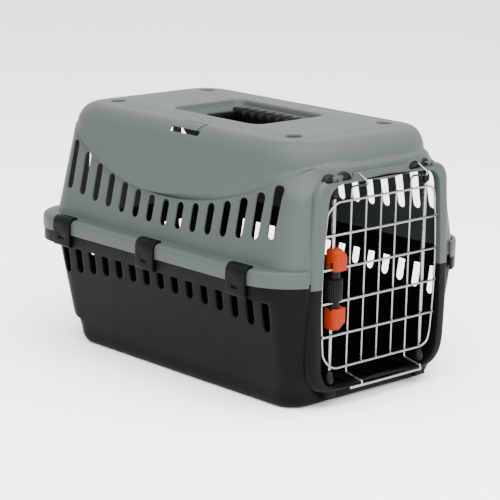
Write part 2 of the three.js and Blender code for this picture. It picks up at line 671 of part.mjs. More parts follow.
// A round housing, bored from both ends up to a wall in the middle.
function latchHousing() {
  const bottom = LATCH.bottom - TAIL;
  const top = LATCH.top + TAIL;
  const gap = TAIL + GAP + 0.1;
  const core = latchRound(bottom, top, LATCH.core, 16);
  const sleeve = latchRound(LATCH.bottom + gap, LATCH.top - gap, LATCH.radius, 24);
  const guide = rodRound(bottom, top, GUIDE, 14);
  const upper = rodRound(LATCH_MIDDLE + SPRING.seat, top + 1, BORE, 12);
  const lower = rodRound(bottom - 1, LATCH_MIDDLE - SPRING.seat, BORE, 12);
  const bars = [CROSSBARS[1], CROSSBARS[2]].map(({ z }) =>
    rod([BAR_PLANE, -95, z], [BAR_PLANE, -40, z], WIRE + GAP, 8));
  return cut(join(core, sleeve, guide), upper, lower, ...bars);
}

// A squeeze grip: a block with its outer end cut on a slope, hollow for the housing.
// up is +1 for the upper grip and -1 for the lower.
function latchGrip(up) {
  const inner = up > 0 ? LATCH.top : LATCH.bottom;
  const z = (distance) => inner + up * distance;
  const { x0, x1, y0, y1, length, slope } = GRIP;
  const profile = [
    [y0, 0], [y1, 0], [y1, length - slope],
    [(y0 + y1) / 2 + 1, length], [y0 + 2, length - 1], [y0, length - 3],
  ].map(([y, distance]) => new THREE.Vector2(y, z(distance)));
  const block = prismX(new THREE.Shape(profile), x0, x1);
  const room = TAIL + LATCH.travel + 1;
  const hollow = [
    latchRound(z(-1), z(room), LATCH.core + GAP, 16),
    rodRound(z(-1), z(room), GUIDE + GAP, 14),
    rodRound(z(-1), z(length + 1), ROD.radius + GAP, 10),
  ];
  const bar = up > 0 ? CROSSBARS[1].z : CROSSBARS[2].z;
  const far = bar + up * (LATCH.travel + WIRE + 0.6);
  const reach = WIRE + GAP;
  const [low, high] = [z(-1), far].sort((a, b) => a - b);
  const slotted = box(BAR_PLANE - reach, BAR_PLANE + reach, -100, -40, low, high);
  return cut(block, ...hollow, slotted);
}

// The rod from a grip to its socket, with a flange that the spring pushes on.
function latchRod(up) {
  const seat = LATCH_MIDDLE + up * (SPRING.seat + SPRING.length + 2 * GAP);
  const end = up > 0 ? CAP.topFrom - GAP : CAP.lowFrom + GAP;
  return join(rodRound(seat, end, ROD.radius), rodRound(seat, seat + up * FLANGE.height, FLANGE.radius, 12));
}

function springGeometry(up) {
  const start = LATCH_MIDDLE + up * (SPRING.seat + GAP + SPRING.wire);
  const rise = SPRING.length - 2 * SPRING.wire;
  const steps = SPRING.turns * 8;
  const points = Array.from({ length: steps + 1 }, (_, i) => {
    const angle = (2 * Math.PI * SPRING.turns * i) / steps;
    const x = ROD.x + SPRING.coil * Math.cos(angle);
    return new THREE.Vector3(x, ROD.latchY + SPRING.coil * Math.sin(angle), start + (up * rise * i) / steps);
  });
  return wire(points, SPRING.wire, { sides: 4, side: AXIS_Z });
}

function addLatch() {
  piece('latch_housing', latchHousing(), plastic(BLACK));
  [[1, 'upper'], [-1, 'lower']].forEach(([up, name]) => {
    piece(`latch_grip_${name}`, latchGrip(up), plastic(ORANGE, 0.45));
    piece(`latch_rod_${name}`, latchRod(up), wireMetal());
    piece(`latch_tip_${name}`, latchTip(up), plastic(BLACK));
    piece(`latch_spring_${name}`, solidOf(springGeometry(up)), wireMetal());
  });
}

piece('upper_shell', upperShell(), plastic(GREY_GREEN));
piece('lower_shell', lowerShell(), plastic(CHARCOAL));
addClips();
addHandle();
addDoorWires();
addHinge();
addLatch();

export default carrier;
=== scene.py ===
"""Looks of a pet carrier: two moulded shells, six clips, a folding handle and a wire door.

Drawing coordinates are millimetres: +X is the doorway end, y = 0 is the middle plane and z = 0 is
the seam between the shells.
"""

import math
from types import SimpleNamespace as Sizes

import bmesh
import bpy
import numpy as np
from mathutils import Matrix, Vector
from mathutils.geometry import delaunay_2d_cdt


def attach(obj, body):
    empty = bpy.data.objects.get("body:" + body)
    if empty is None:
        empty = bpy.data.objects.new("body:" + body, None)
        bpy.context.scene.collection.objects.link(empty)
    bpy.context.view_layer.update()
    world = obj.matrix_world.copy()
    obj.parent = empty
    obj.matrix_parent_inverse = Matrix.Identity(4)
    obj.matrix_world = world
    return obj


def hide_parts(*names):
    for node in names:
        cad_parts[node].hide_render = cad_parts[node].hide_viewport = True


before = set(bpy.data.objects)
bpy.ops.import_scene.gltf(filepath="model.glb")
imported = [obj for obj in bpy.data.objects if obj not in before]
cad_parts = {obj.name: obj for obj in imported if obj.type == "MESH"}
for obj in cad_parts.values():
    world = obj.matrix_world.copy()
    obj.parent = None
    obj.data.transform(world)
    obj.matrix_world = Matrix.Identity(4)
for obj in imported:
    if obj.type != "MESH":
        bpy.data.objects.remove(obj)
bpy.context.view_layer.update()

# ---- dimensions ----
SEAM, CENTRE_X = 144, 8.7  # height of the seam, and the drawing's x at the middle of the length
WALL = 1.8
HALF_WIDTH, REAR_X, FRONT_X = 140, -203, 211.5
REAR_RADIUS, FRONT_RADIUS = 31, 34
UPPER_LEAN = Sizes(rear=0.07, front=0.04, half=0.21, radius=0.03)  # inward per mm of height

ROOF_Z, SHOULDER_Z, BULGE = 144, 116, 5.2
TURN = 42  # length along the shoulder's curve
SHOULDER = Sizes(rear=24, front=31, half=25)  # how far the roof's edge lies inside the wall below it
ROOF_SETBACK = 7  # of the roof's front
ROOF_CORNER = Sizes(front=28, front_gain=54, rear_gain=9, rear_swell=14)
CROWN, CROWN_REACH = 1.5, 34  # the roof is higher in the middle
CORNER_SWELL = Sizes(start=86, run=34, gain=36)  # the band's front corners grow rounder upward
FASCIA = Sizes(start=90, rise=12, top=119, fade=2.6, reach=4.2, radius=8)  # ledge above the collar
EDGE = Sizes(middle=64, bow=43, reach=170, end_rise=17, front_run=30, rear_run=26, rear_limit=1.2)
STEP_AT, STEP_RUN = -0.6, 1.9  # the wall steps out across the roof's lower edge
GROOVE = Sizes(half=1.5, depth=1.5)

LOWER_TURN_AT, LOWER_TURN = 128, 20
SEAM_SIZES = REAR_X, FRONT_X, HALF_WIDTH, REAR_RADIUS, FRONT_RADIUS
LOWER_LEAN = 0.16, -0.05, -0.156, -0.05, -0.05  # their change per mm of depth
LOWER_TUCK = 13, -11, -8, -8, -4  # their change over the turn into the floor
REAR_STEP = Sizes(at=112, run=5, depth=6.5)
FRONT_RAMP = Sizes(at=106, run=22, front=7, half=2)
ARC = Sizes(z=76, drop=27, start=-25, run=120, depth=0.8)  # shallow hollow in the lower side wall

RIM_ROOM = 17  # the rim's reach along the sides
REACH_SHARE = Sizes(rear=14 / RIM_ROOM, front=7 / RIM_ROOM, corner=31 / RIM_ROOM)
COLLAR = dict(half=111, top=110, bottom=-126, top_radius=26, bottom_radius=38)
DOORWAY = dict(half=94.8, top=103.4, bottom=-120.7, top_radius=25, bottom_radius=30)
COLLAR_FACE, COLLAR_BACK, COLLAR_SEAM = 214.5, 205.5, -7.5
REBATE = 4  # the shell's wall stops this far outside the doorway
POCKETS = [(-82, 106.0, 8.8, 7.5), (-62, 106.3, 9.4, 8.4), (47, 106.3, 9.4, 8.0), (67, 106.3, 9.0, 8.2)]
SLOT_PITCH, SLOT_WIDTH = 24.264, 10.6
SIDE_SLOTS, REAR_SLOTS = 15, 7
RECESS_MOUTH, RECESS_FLOOR = (-77, 67, 54.5, 13, 13), (-62, 62, 50, 9, 9)
RECESS_Z, RECESS_LIP, RECESS_FILLET = 118, 3.2, 3.5
DIMPLES = [(x, y) for x in (-152, 142) for y in (-71, 71)]

WIRE, UPRIGHT_WIRE, WIRE_PLANE, BAR_PLANE = 1.28, 1.1, 207.8, 210.9
ROD_X, ROD_RADIUS, LATCH_Y, HINGE_Y = 206.7, 2.3, -72.5, 72.5
LOOP = Sizes(shift=2, half=87, bow=16, top=65.9, bottom=-78.1, top_radius=18, bottom_radius=22)
LOOP_Z = (83.9, -100.1)  # the loop's top and bottom wires
STOP_X, STOP_Z = 233, -116.9
UPRIGHTS = [-47.1, -23.6, 0, 23.6, 47.1]
CROSSBARS = [(48.3, 89), (11.3, 92), (-25.7, 92.5), (-62.6, 90)]
LATCH_X, LATCH_CY, LATCH_R = 208.5, -70.5, 9.5
LATCH_CORE, LATCH_BORE, RIB_COUNT, RIB_DEPTH = 6.2, 3.2, 22, 0.055
GRIP_ROOM = 6.8  # radius of the bore in a grip
CLIP_X, CLIP_HALF, CLIP_Y, CLIP_Z = [-148, 0, 148], 15, 150.5, -14
HANDLE = Sizes(rear=-56, front=58, pivot_y=-14, pivot_z=132, near=22, far=46, low=126, high=142, arm=8,
               arm_half=6, soft=2.2)
SCALLOP = Sizes(start=-42, end=56, centre=7, pitch=14, depth=4.6, top=1.4)
ROUND_END = [(1, 0.02), (0.86, 0.5), (0.5, 0.866), (0.18, 0.984)]  # (along, across) of a wire's tip
END_LENGTH = 0.8  # of a tip, in radii
CAMERA = Sizes(place=(1.6056, -1.5454, 0.6572), turns=(46.178, 13.369, 1.352), lens=141.5)  # m, degrees, mm


def smooth(t):
    t = np.clip(t, 0, 1)
    return t * t * (3 - 2 * t)


# ---- building meshes ----
def added(name, data):
    """A new object in the scene."""
    made = bpy.data.objects.new(name, data)
    bpy.context.scene.collection.objects.link(made)
    return made


class Build:
    """Points and faces in drawing coordinates, gathered into one object."""

    def __init__(self):
        self.points, self.faces, self.count = [], [], 0

    def add(self, points, faces):
        points = np.asarray(points, float).reshape(-1, 3)
        self.faces += [tuple(int(i) + self.count for i in face) for face in faces]
        self.points.append(points)
        self.count += len(points)
        return self

    def object(self, name, finish, body, nodes=(), angle=36, weld=0.004, bevel=0.0, segments=2, cutters=(),
               bevel_first=False):
        co = (np.concatenate(self.points) + [-CENTRE_X, 0, SEAM]) / 1000
        mesh = bpy.data.meshes.new(name)
        mesh.from_pydata(co.tolist(), [], self.faces)
        work = bmesh.new()
        work.from_mesh(mesh)
        bmesh.ops.remove_doubles(work, verts=work.verts, dist=weld / 1000)
        bmesh.ops.dissolve_degenerate(work, edges=work.edges, dist=1e-7)
        bmesh.ops.recalc_face_normals(work, faces=work.faces)
        work.to_mesh(mesh)
        work.free()
        made = added(name, mesh)
        steps = list(cutters) + ([None] if bevel else [])
        for step in sorted(steps, key=lambda s: (s is None) != bevel_first):
            tool = made.modifiers.new("step", "BOOLEAN" if step else "BEVEL")
            if step:
                tool.operation, tool.solver, tool.object = "DIFFERENCE", "EXACT", step
            else:
                tool.width, tool.segments, tool.limit_method = bevel / 1000, segments, "ANGLE"
                tool.angle_limit, tool.harden_normals = math.radians(32), False
        if made.modifiers:
            graph = bpy.context.evaluated_depsgraph_get()
            done = bpy.data.meshes.new_from_object(made.evaluated_get(graph))
            made.modifiers.clear()
            made.data = done
        for cutter in cutters:
            bpy.data.objects.remove(cutter)
        for face in made.data.polygons:
            face.use_smooth = True
        made.data.set_sharp_from_angle(angle=math.radians(angle))
        if finish is None:
            return made
        made.data.materials.clear()
        made.data.materials.append(MATERIALS[finish])
        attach(made, body)
        if nodes:
            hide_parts(*nodes)
        return made


def bridge(build, loops, closed=True, ends=True):
    """Skin over loops of equal length; ends closes the first and last with a face."""
    loops = [np.asarray(loop, float) for loop in loops]
    n = len(loops[0])
    faces = []
    for i in range(len(loops) - 1):
        for k in range(n if closed else n - 1):
            a, b = i * n + k, i * n + (k + 1) % n
            faces.append((a, b, b + n, a + n))
    if ends:
        faces.append(tuple(range(n))[::-1])
        faces.append(tuple(range((len(loops) - 1) * n, len(loops) * n)))
    return build.add(np.concatenate(loops), faces)


def ring_of(build, loops):
    """Loops joined one to the next and the last back to the first, each loop closed."""
    n, m = len(loops[0]), len(loops)
    faces = [(i * n + k, i * n + (k + 1) % n, (i + 1) % m * n + (k + 1) % n, (i + 1) % m * n + k)
             for i in range(m) for k in range(n)]
    return build.add(np.concatenate(loops), faces)


def tube(build, path, radius, closed=False, sides=14):
    """A round wire along a path, with rounded ends when it is open."""
    path = np.asarray(path, float)
    radii = np.full(len(path), float(radius))
    if not closed:
        first = (path[1] - path[0]) / np.linalg.norm(path[1] - path[0])
        last = (path[-1] - path[-2]) / np.linalg.norm(path[-1] - path[-2])
        setback = [radius * END_LENGTH * (1 - s) for s, _ in ROUND_END]
        head = [path[0] + first * d for d in setback]
        tail = [path[-1] - last * d for d in setback][::-1]
        path = np.array(head + list(path[1:-1]) + tail)
        tips = np.array([radius * c for _, c in ROUND_END])
        radii = np.concatenate([tips, radii[1:-1], tips[::-1]])
    if closed:
        along = np.roll(path, -1, 0) - np.roll(path, 1, 0)
    else:
        along = np.gradient(path, axis=0)
    along /= np.linalg.norm(along, axis=1)[:, None]
    side = np.cross(along[0], [0.3, 0.2, 1] if abs(along[0][2]) < 0.9 else [1, 0.1, 0])
    side /= np.linalg.norm(side)
    loops = []
    angles = np.linspace(0, 2 * math.pi, sides, endpoint=False)
    for point, direction, r in zip(path, along, radii):
        side = side - direction * side.dot(direction)
        side /= np.linalg.norm(side)
        up = np.cross(direction, side)
        loops.append(point + r * (np.cos(angles)[:, None] * side + np.sin(angles)[:, None] * up))
    return ring_of(build, loops) if closed else bridge(build, loops)


def straight(start, end, radius, sides=14):
    """A straight round wire."""
    start, end = np.asarray(start, float), np.asarray(end, float)
    return tube(Build(), [start, (start + end) / 2, end], radius, sides=sides)


def fillet(points, radius, steps=6):
    """A polyline with its inner corners rounded."""
    points = [np.asarray(p, float) for p in points]
    out = [points[0]]
    for before, here, after in zip(points, points[1:], points[2:]):
        a, b = before - here, after - here
        la, lb = np.linalg.norm(a), np.linalg.norm(b)
        reach = min(radius, la * 0.49, lb * 0.49)
        p, q = here + a / la * reach, here + b / lb * reach
        for t in np.linspace(0, 1, steps):
            out.append((1 - t) ** 2 * p + 2 * t * (1 - t) * here + t * t * q)
    return out + [points[-1]]


def lathe(build, x, y, profile, sides=28, shape=None):
    """A turned piece on a vertical axis; profile is [radius, z] from end to end."""
    angles = np.linspace(0, 2 * math.pi, sides, endpoint=False)
    loops = []
    for radius, z in profile:
        r = max(radius, 0.05) * (shape(angles) if shape else 1)
        loops.append(np.stack([x + r * np.cos(angles), y + r * np.sin(angles), np.full(sides, z)], 1))
    return bridge(build, loops)


def block(build, x0, x1, y0, y1, z0, z1):
    corners = [(x, y, z) for z in (z0, z1) for x, y in ((x0, y0), (x1, y0), (x1, y1), (x0, y1))]
    sides = [(3, 2, 1, 0), (4, 5, 6, 7), (0, 1, 5, 4), (1, 2, 6, 5), (2, 3, 7, 6), (3, 0, 4, 7)]
    return build.add(corners, sides)


def prism(build, polygon, x0, x1):
    """A polygon in (y, z), pushed along x."""
    return bridge(build, [[(x, y, z) for y, z in polygon] for x in (x0, x1)])


def cutter(build, bevel=0.0):
    return build.object("cutter", None, None, bevel=bevel)


# ---- plates over a flat region ----
def inside(polygon, points):
    """Which points lie in the polygon."""
    a, b = polygon, np.roll(polygon, -1, 0)
    result = np.zeros(len(points), bool)
    chunk = 4000
    for k in range(0, len(points), chunk):
        x, y = points[k:k + chunk, :1], points[k:k + chunk, 1:]
        crossing = (a[:, 1] > y) != (b[:, 1] > y)
        at = (b[:, 0] - a[:, 0]) * (y - a[:, 1]) / (b[:, 1] - a[:, 1] + 1e-12) + a[:, 0]
        result[k:k + chunk] = (crossing & (x < at)).sum(1) % 2 == 1
    return result


def clearance(polygon, points):
    """Distance of each point from the polygon's edge."""
    a, b = polygon, np.roll(polygon, -1, 0)
    best = np.full(len(points), 1e9)
    for p, q in zip(a, b):
        d = q - p
        t = np.clip(((points - p) @ d) / max(d @ d, 1e-12), 0, 1)
        best = np.minimum(best, np.hypot(*(points - p - t[:, None] * d).T))
    return best


def widened(polygon, distance):
    """The polygon, moved outward."""
    before, after = np.roll(polygon, 1, 0), np.roll(polygon, -1, 0)
    d = after - before
    normal = np.stack([d[:, 1], -d[:, 0]], 1) / np.linalg.norm(d, axis=1)[:, None]
    area = np.sum(polygon[:, 0] * after[:, 1] - after[:, 0] * polygon[:, 1])
    return polygon + normal * distance * (1 if area > 0 else -1)


def plate(build, point, outline, holes=(), lines=(), step=(4.0, 4.0), wall=WALL, rim=0.9, is_open=None,
          bare_holes=()):
    """A closed plate of even thickness over a region of the plane.

    point(u, t, depth) places it in space, holes get a rounded rim, and lines are rows of points
    that the surface has to follow. Where is_open is true, the edge gets no face.
    """
    pts, depths, edges = [], [], []

    def chain(loop, depth, closed=True):
        start = len(pts)
        pts.extend(map(tuple, loop))
        depths.extend([depth] * len(loop))
        count = len(loop) if closed else len(loop) - 1
        edges.extend((start + k, start + (k + 1) % len(loop)) for k in range(count))

    chain(outline, 0)
    gaps = [*holes, *bare_holes]
    for hole in holes:
        for share in (0, 0.35, 1):
            loop = widened(hole, rim * share) if share else hole
            chain(loop, rim - math.sqrt(rim * rim - (rim * (1 - share)) ** 2))
    for hole in bare_holes:
        chain(hole, 0)
    for line in lines:
        keep = inside(outline, line) & (clearance(outline, line) > 0.4)
        for hole in gaps:
            keep &= ~(inside(hole, line) | (clearance(hole, line) < rim + 0.3))
        run = []
        for place, ok in list(zip(line, keep)) + [(None, False)]:
            if ok:
                run.append(place)
            elif run:
                if len(run) > 1:
                    chain(run, 0, closed=False)
                run = []
    grid = grid_inside(outline, gaps, lines, step, rim)
    pts.extend(map(tuple, grid))
    depths.extend([0] * len(grid))
    verts, _, tris, origins, _, _ = delaunay_2d_cdt([Vector(p) for p in pts], edges, [], 0, 1e-5)
    flat = np.array([tuple(v) for v in verts])
    depth = np.array([max((depths[i] for i in o), default=0) for o in origins])
    tris = np.array([t for t in tris if len(t) == 3])
    middle = flat[tris].mean(1)
    keep = inside(outline, middle)
    for hole in gaps:
        keep &= ~inside(hole, middle)
    tris = tris[keep]
    used = np.unique(tris)
    index = np.full(len(flat), -1)
    index[used] = np.arange(len(used))
    tris, flat, depth = index[tris], flat[used], depth[used]
    n = len(flat)
    outer = point(flat[:, 0], flat[:, 1], depth)
    inner = point(flat[:, 0], flat[:, 1], np.full(n, float(wall)))
    seen = {}
    for a, b, c in tris:
        for e in ((a, b), (b, c), (c, a)):
            key = (min(e), max(e))
            seen[key] = None if key in seen else e
    opened = is_open(flat[:, 0], flat[:, 1]) if is_open else np.zeros(n, bool)
    faces = [tuple(t) for t in tris] + [tuple(t[::-1] + n) for t in tris]
    for e in seen.values():
        if e and not (opened[e[0]] and opened[e[1]]):
            faces.append((e[1], e[0], e[0] + n, e[1] + n))
    build.add(np.concatenate([outer, inner]), faces)


def grid_inside(outline, holes, lines, step, rim):
    """Staggered grid points in the outline, clear of its edge, the holes and the lines."""
    lo, hi = outline.min(0), outline.max(0)
    us, ts = np.arange(lo[0], hi[0], step[0]), np.arange(lo[1], hi[1], step[1])
    grid = np.array([(u + (step[0] / 2 if j % 2 else 0), t) for j, t in enumerate(ts) for u in us])
    grid = grid[inside(outline, grid)]
    grid = grid[clearance(outline, grid) > min(step) * 0.4]
    for hole in holes:
        grid = grid[~(inside(hole, grid) | (clearance(hole, grid) < rim + 1.0))]
    for line in lines:
        grid = grid[line_gap(line, grid) > 0.9]
    return grid


def line_gap(line, points):
    """Distance of each point from an open line: across it when it runs along u."""
    if np.ptp(line[:, 0]) <= 3 * np.ptp(line[:, 1]):
        return clearance(line, points)
    order = np.argsort(line[:, 0])
    at = np.interp(points[:, 0], line[order, 0], line[order, 1], left=1e6, right=1e6)
    return np.abs(points[:, 1] - at)


def with_normal(surface, sign=1):
    """surface(u, t) with a depth measured along its normal."""
    def point(u, t, depth):
        e = 0.05
        du = surface(u + e, t) - surface(u - e, t)
        dt = surface(u, t + e) - surface(u, t - e)
        normal = np.cross(du, dt) * sign
        normal /= np.linalg.norm(normal, axis=1)[:, None] + 1e-12
        return surface(u, t) - normal * depth[:, None]
    return point


# ---- walls: u runs round the shell from the middle of the front, t up or down it ----
LEGS = np.array([100, 60, 349.5, 52, 214, 52, 349.5, 60, 100])
STOPS = np.concatenate([[0], np.cumsum(LEGS)])
ROUND = STOPS[-1]


def around(u, rear, front, half, rr, fr):
    """(x, y) at u on a rounded rectangle."""
    leg = np.clip(np.searchsorted(STOPS, u, side="right") - 1, 0, len(LEGS) - 1)
    f = (u - STOPS[leg]) / LEGS[leg]
    a = f * math.pi / 2
    c, s = np.cos(a), np.sin(a)
    fx, rx, fy, ry = front - fr, rear + rr, half - fr, half - rr
    xs = [front + 0 * f, fx + fr * c, fx + f * (rx - fx), rx - rr * s, rear + 0 * f,
          rx - rr * c, rx + f * (fx - rx), fx + fr * s, front + 0 * f]
    ys = [f * fy, fy + fr * s, half + 0 * f, ry + rr * c, ry * (1 - 2 * f),
          -ry - rr * s, -half + 0 * f, -fy - fr * c, -fy * (1 - f)]
    return np.choose(leg, xs), np.choose(leg, ys)


def edge_height(x):
    """Lower edge of the roof: a shallow U along the sides, level at the front and the rear."""
    e = EDGE
    side = e.middle + e.bow * (np.clip(np.abs(x), 0, e.reach) / e.reach) ** 2
    ahead = np.clip((x - e.reach) / e.front_run, 0, 1)
    behind = np.clip((-e.reach - x) / e.rear_run, 0, e.rear_limit)
    return side + np.where(x > 0, ahead, behind) * e.end_rise


def upper_level(t, proud, groove=0.0):
    """Sizes round the upper shell at t, and the height there; proud is 0 on the band, 1 on the roof."""
    z = np.minimum(t, SHOULDER_Z)
    turn = np.clip((t - SHOULDER_Z) / TURN, 0, 1) * math.pi / 2
    tuck = 1 - np.cos(turn)
    height = z + (ROOF_Z - SHOULDER_Z) * np.sin(turn)
    out = BULGE * proud - groove
    f, c, r = FASCIA, CORNER_SWELL, ROOF_CORNER
    fade = 1 - smooth((height - f.top) / f.fade)
    fascia = smooth((height - f.start) / f.rise) * (1 - proud) * fade
    round_off = c.gain * smooth((height - c.start) / c.run) + f.radius * fascia
    band_corner = FRONT_RADIUS - UPPER_LEAN.radius * z + round_off
    roof_corner = r.front + r.front_gain * (1 - tuck)
    rear_gain = r.rear_swell * smooth((height - 104) / 16) + r.rear_gain
    rear = REAR_X + UPPER_LEAN.rear * z - out + SHOULDER.rear * tuck
    front = FRONT_X - UPPER_LEAN.front * z + out - ROOF_SETBACK * proud - SHOULDER.front * tuck
    half = HALF_WIDTH - UPPER_LEAN.half * z + out - SHOULDER.half * tuck
    rear_radius = REAR_RADIUS - UPPER_LEAN.radius * z + rear_gain * proud - SHOULDER.rear * tuck
    front_radius = band_corner * (1 - proud) + roof_corner * proud
    return (rear, front + f.reach * fascia, half, rear_radius, front_radius), height


def upper_surface(u, t):
    u = np.mod(u + ROUND, ROUND)
    level, _ = upper_level(t, 0 * t)
    x, _ = around(u, *level)
    above = t - edge_height(x) - STEP_AT
    groove = GROOVE.depth * np.clip(1 - np.abs(above) / GROOVE.half, 0, 1)
    level, z = upper_level(t, smooth(above / STEP_RUN), groove)
    x, y = around(u, *level)
    return np.stack([x, y, z], 1)


UPPER_T = SHOULDER_Z + TURN


def shell_point(surface, t_end, sign):
    """Places a wall's points at a depth along its normal, or straight up and down at its end."""
    def point(u, t, depth):
        placed = with_normal(surface, sign)(u, np.minimum(t, t_end - 0.05), depth)
        end = t > t_end - 1e-3
        shift = np.stack([0 * depth, 0 * depth, -sign * depth], 1)
        placed[end] = surface(u, t)[end] + shift[end]
        return placed
    return point


upper_point = shell_point(upper_surface, UPPER_T, 1)


def upper_t(z):
    """t where the upper shell's wall is at height z."""
    turned = np.arcsin(np.clip((z - SHOULDER_Z) / (ROOF_Z - SHOULDER_Z), 0, 1)) / (math.pi / 2)
    return np.where(z < SHOULDER_Z, z, SHOULDER_Z + TURN * turned)


def lower_level(t):
    """Sizes round the lower shell at t below the seam, and the height there."""
    d = np.minimum(t, LOWER_TURN_AT)
    turn = np.clip((t - LOWER_TURN_AT) / LOWER_TURN, 0, 1) * math.pi / 2
    tuck = 1 - np.cos(turn)
    step = REAR_STEP.depth * smooth((t - REAR_STEP.at) / REAR_STEP.run)
    ramp = np.clip((t - FRONT_RAMP.at) / FRONT_RAMP.run, 0, 1)
    ledge = step, -FRONT_RAMP.front * ramp, -FRONT_RAMP.half * ramp, 0, 0
    rows = zip(SEAM_SIZES, LOWER_LEAN, ledge, LOWER_TUCK)
    sizes = [size + lean * d + out + inward * tuck for size, lean, out, inward in rows]
    return sizes, -d - (SEAM - LOWER_TURN_AT) * np.sin(turn)


def arc_depth(x):
    """Depth of the arched crease in the lower side wall."""
    return ARC.z + ARC.drop * np.clip((ARC.start - x) / ARC.run, 0, 2) ** 2


def lower_surface(u, t):
    u = np.mod(u + ROUND, ROUND)
    (rear, front, half, rr, fr), z = lower_level(t)
    x, y = around(u, rear, front, half, rr, fr)
    below = smooth((-arc_depth(x) - z) / 2.2) * (np.abs(y) > 100)
    hollow = ARC.depth * below * (1 - smooth((x + 70) / 110)) * smooth((x + 172) / 12)
    x, y = around(u, rear, front, half - hollow, rr, fr)
    return np.stack([x, y, z], 1)


LOWER_T = LOWER_TURN_AT + LOWER_TURN
lower_point = shell_point(lower_surface, LOWER_T, -1)


def on_side(levels, x, t):
    """u on the +y side where the wall stands at x."""
    rear, front, _, rr, fr = levels(t)
    fx, rx = front - fr, rear + rr
    ahead = np.arcsin(np.clip((x - fx) / fr, 0, 1)) / (math.pi / 2) * LEGS[1]
    behind = np.arcsin(np.clip((rx - x) / rr, 0, 1)) / (math.pi / 2) * LEGS[3]
    return STOPS[2] + np.clip((fx - x) / (fx - rx), 0, 1) * LEGS[2] - ahead + behind


def on_rear(levels, y, t):
    """u where the rear wall stands at y."""
    _, _, half, rr, _ = levels(t)
    return STOPS[4] + (1 - y / (half - rr)) / 2 * LEGS[4]


def on_front(levels, y, t):
    """u where the front wall or its +y corner stands at y."""
    _, _, half, _, fr = levels(t)
    fy = half - fr
    turned = np.arcsin(np.clip((y - fy) / fr, -1, 1)) / (math.pi / 2)
    return np.where(y < fy, y / fy * LEGS[0], STOPS[1] + turned * LEGS[1])


def upper_sizes(t):
    return upper_level(t, 0 * t)[0]


def lower_sizes(t):
    return lower_level(t)[0]


def slot(centre, bottom, top, flat_top=False):
    """Outline of an upright slot, counter-clockwise, as (across, z)."""
    r, steps = SLOT_WIDTH / 2, 9
    low = [(centre + r * math.cos(a), bottom + r + r * math.sin(a))
           for a in np.linspace(math.pi, 2 * math.pi, steps)]
    rise = [(centre + r, z) for z in np.linspace(bottom + r, top - r, 8)[1:-1]]
    if flat_top:
        c, d = 1.1, 0.3  # cut corner
        high = [(centre + r, top - c), (centre + r - d, top - d), (centre + r - c, top), (centre, top),
                (centre - r + c, top), (centre - r + d, top - d), (centre - r, top - c)]
    else:
        high = [(centre + r * math.cos(a), top - r + r * math.sin(a)) for a in np.linspace(0, math.pi, steps)]
    return np.array(low + rise + high + [(centre - r, z) for _, z in rise[::-1]])


def slot_places(count):
    return SLOT_PITCH * (np.arange(count) - (count - 1) / 2)


def doorway(half, top, bottom, top_radius, bottom_radius, grow=0.0, upper=True, start=0.0):
    """Half of the doorway's edge, +y side: from z = start to the middle, as (y, z)."""
    top_half, bottom_half = half - 6.5 + grow, half - 2 + grow
    up, down = top_radius + grow, bottom_radius + grow
    t = np.linspace(0, 1, 200)
    mid = (half + 2.5 + grow, (top + bottom) / 2)
    ends = (bottom_half, bottom + down), (top_half, top - up)
    side = [(1 - t) ** 2 * ends[0][k] + 2 * t * (1 - t) * mid[k] + t * t * ends[1][k] for k in (0, 1)]
    if upper:
        z = np.linspace(start + 0.15, top - up, 16)
        corner, level, flat = (top_half, top - up), top + grow, top_half - up
    else:
        z = np.linspace(start - 0.15, bottom + down, 16)
        corner, level, flat = (bottom_half, bottom + down), bottom - grow, bottom_half - down
    rows = [(np.interp(v, side[1], side[0]), v) for v in z]
    first, turn, last = np.array(corner), np.array((corner[0], level)), np.array((flat, level))
    for s in np.linspace(0, 1, 12)[1:]:
        rows.append(tuple((1 - s) ** 2 * first + 2 * s * (1 - s) * turn + s * s * last))
    return np.array(rows + [(y, level) for y in np.linspace(flat, 0, 10)[1:]])


def wall_outline(levels, edge, t_of, t_end, step=4.0):
    """Region of the wall round the shell, open where the doorway is."""
    t = t_of(edge[:, 1])
    right = np.stack([on_front(levels, edge[:, 0], t), t], 1)  # from the seam to the middle
    left = np.stack([ROUND - right[:, 0], right[:, 1]], 1)
    foot = np.arange(right[0, 0] + step, left[0, 0] - step / 2, step)
    rise = np.arange(right[-1, 1] + step, t_end - step / 2, step)
    head = np.linspace(ROUND, 0, 361)
    path = list(right[::-1]) + [(u, right[0, 1]) for u in foot] + list(left)
    path += [(ROUND, v) for v in rise] + [(u, t_end) for u in head] + [(0, v) for v in rise[::-1]]
    return np.array(path)


def wall_open(t_end):
    return lambda u, t: (t > t_end - 1e-3) | (u < 1e-4) | (u > ROUND - 1e-4)


def sweep_arch(build, inner, outer, profile):
    """A band between two edges in (y, z): profile gives (mm from inner, mm from outer or None, x)."""
    inner, outer = (np.concatenate([edge, edge[-2::-1] * [-1, 1]]) for edge in (inner, outer))
    across = outer - inner
    across = across / np.linalg.norm(across, axis=1)[:, None]
    loops = []
    for from_inner, from_outer, x in profile:
        at = inner + across * from_inner if from_outer is None else outer - across * from_outer
        loops.append(np.column_stack([np.full(len(at), x), at]))
    sections = [np.array([loop[k] for loop in loops]) for k in range(len(inner))]
    return bridge(build, sections)


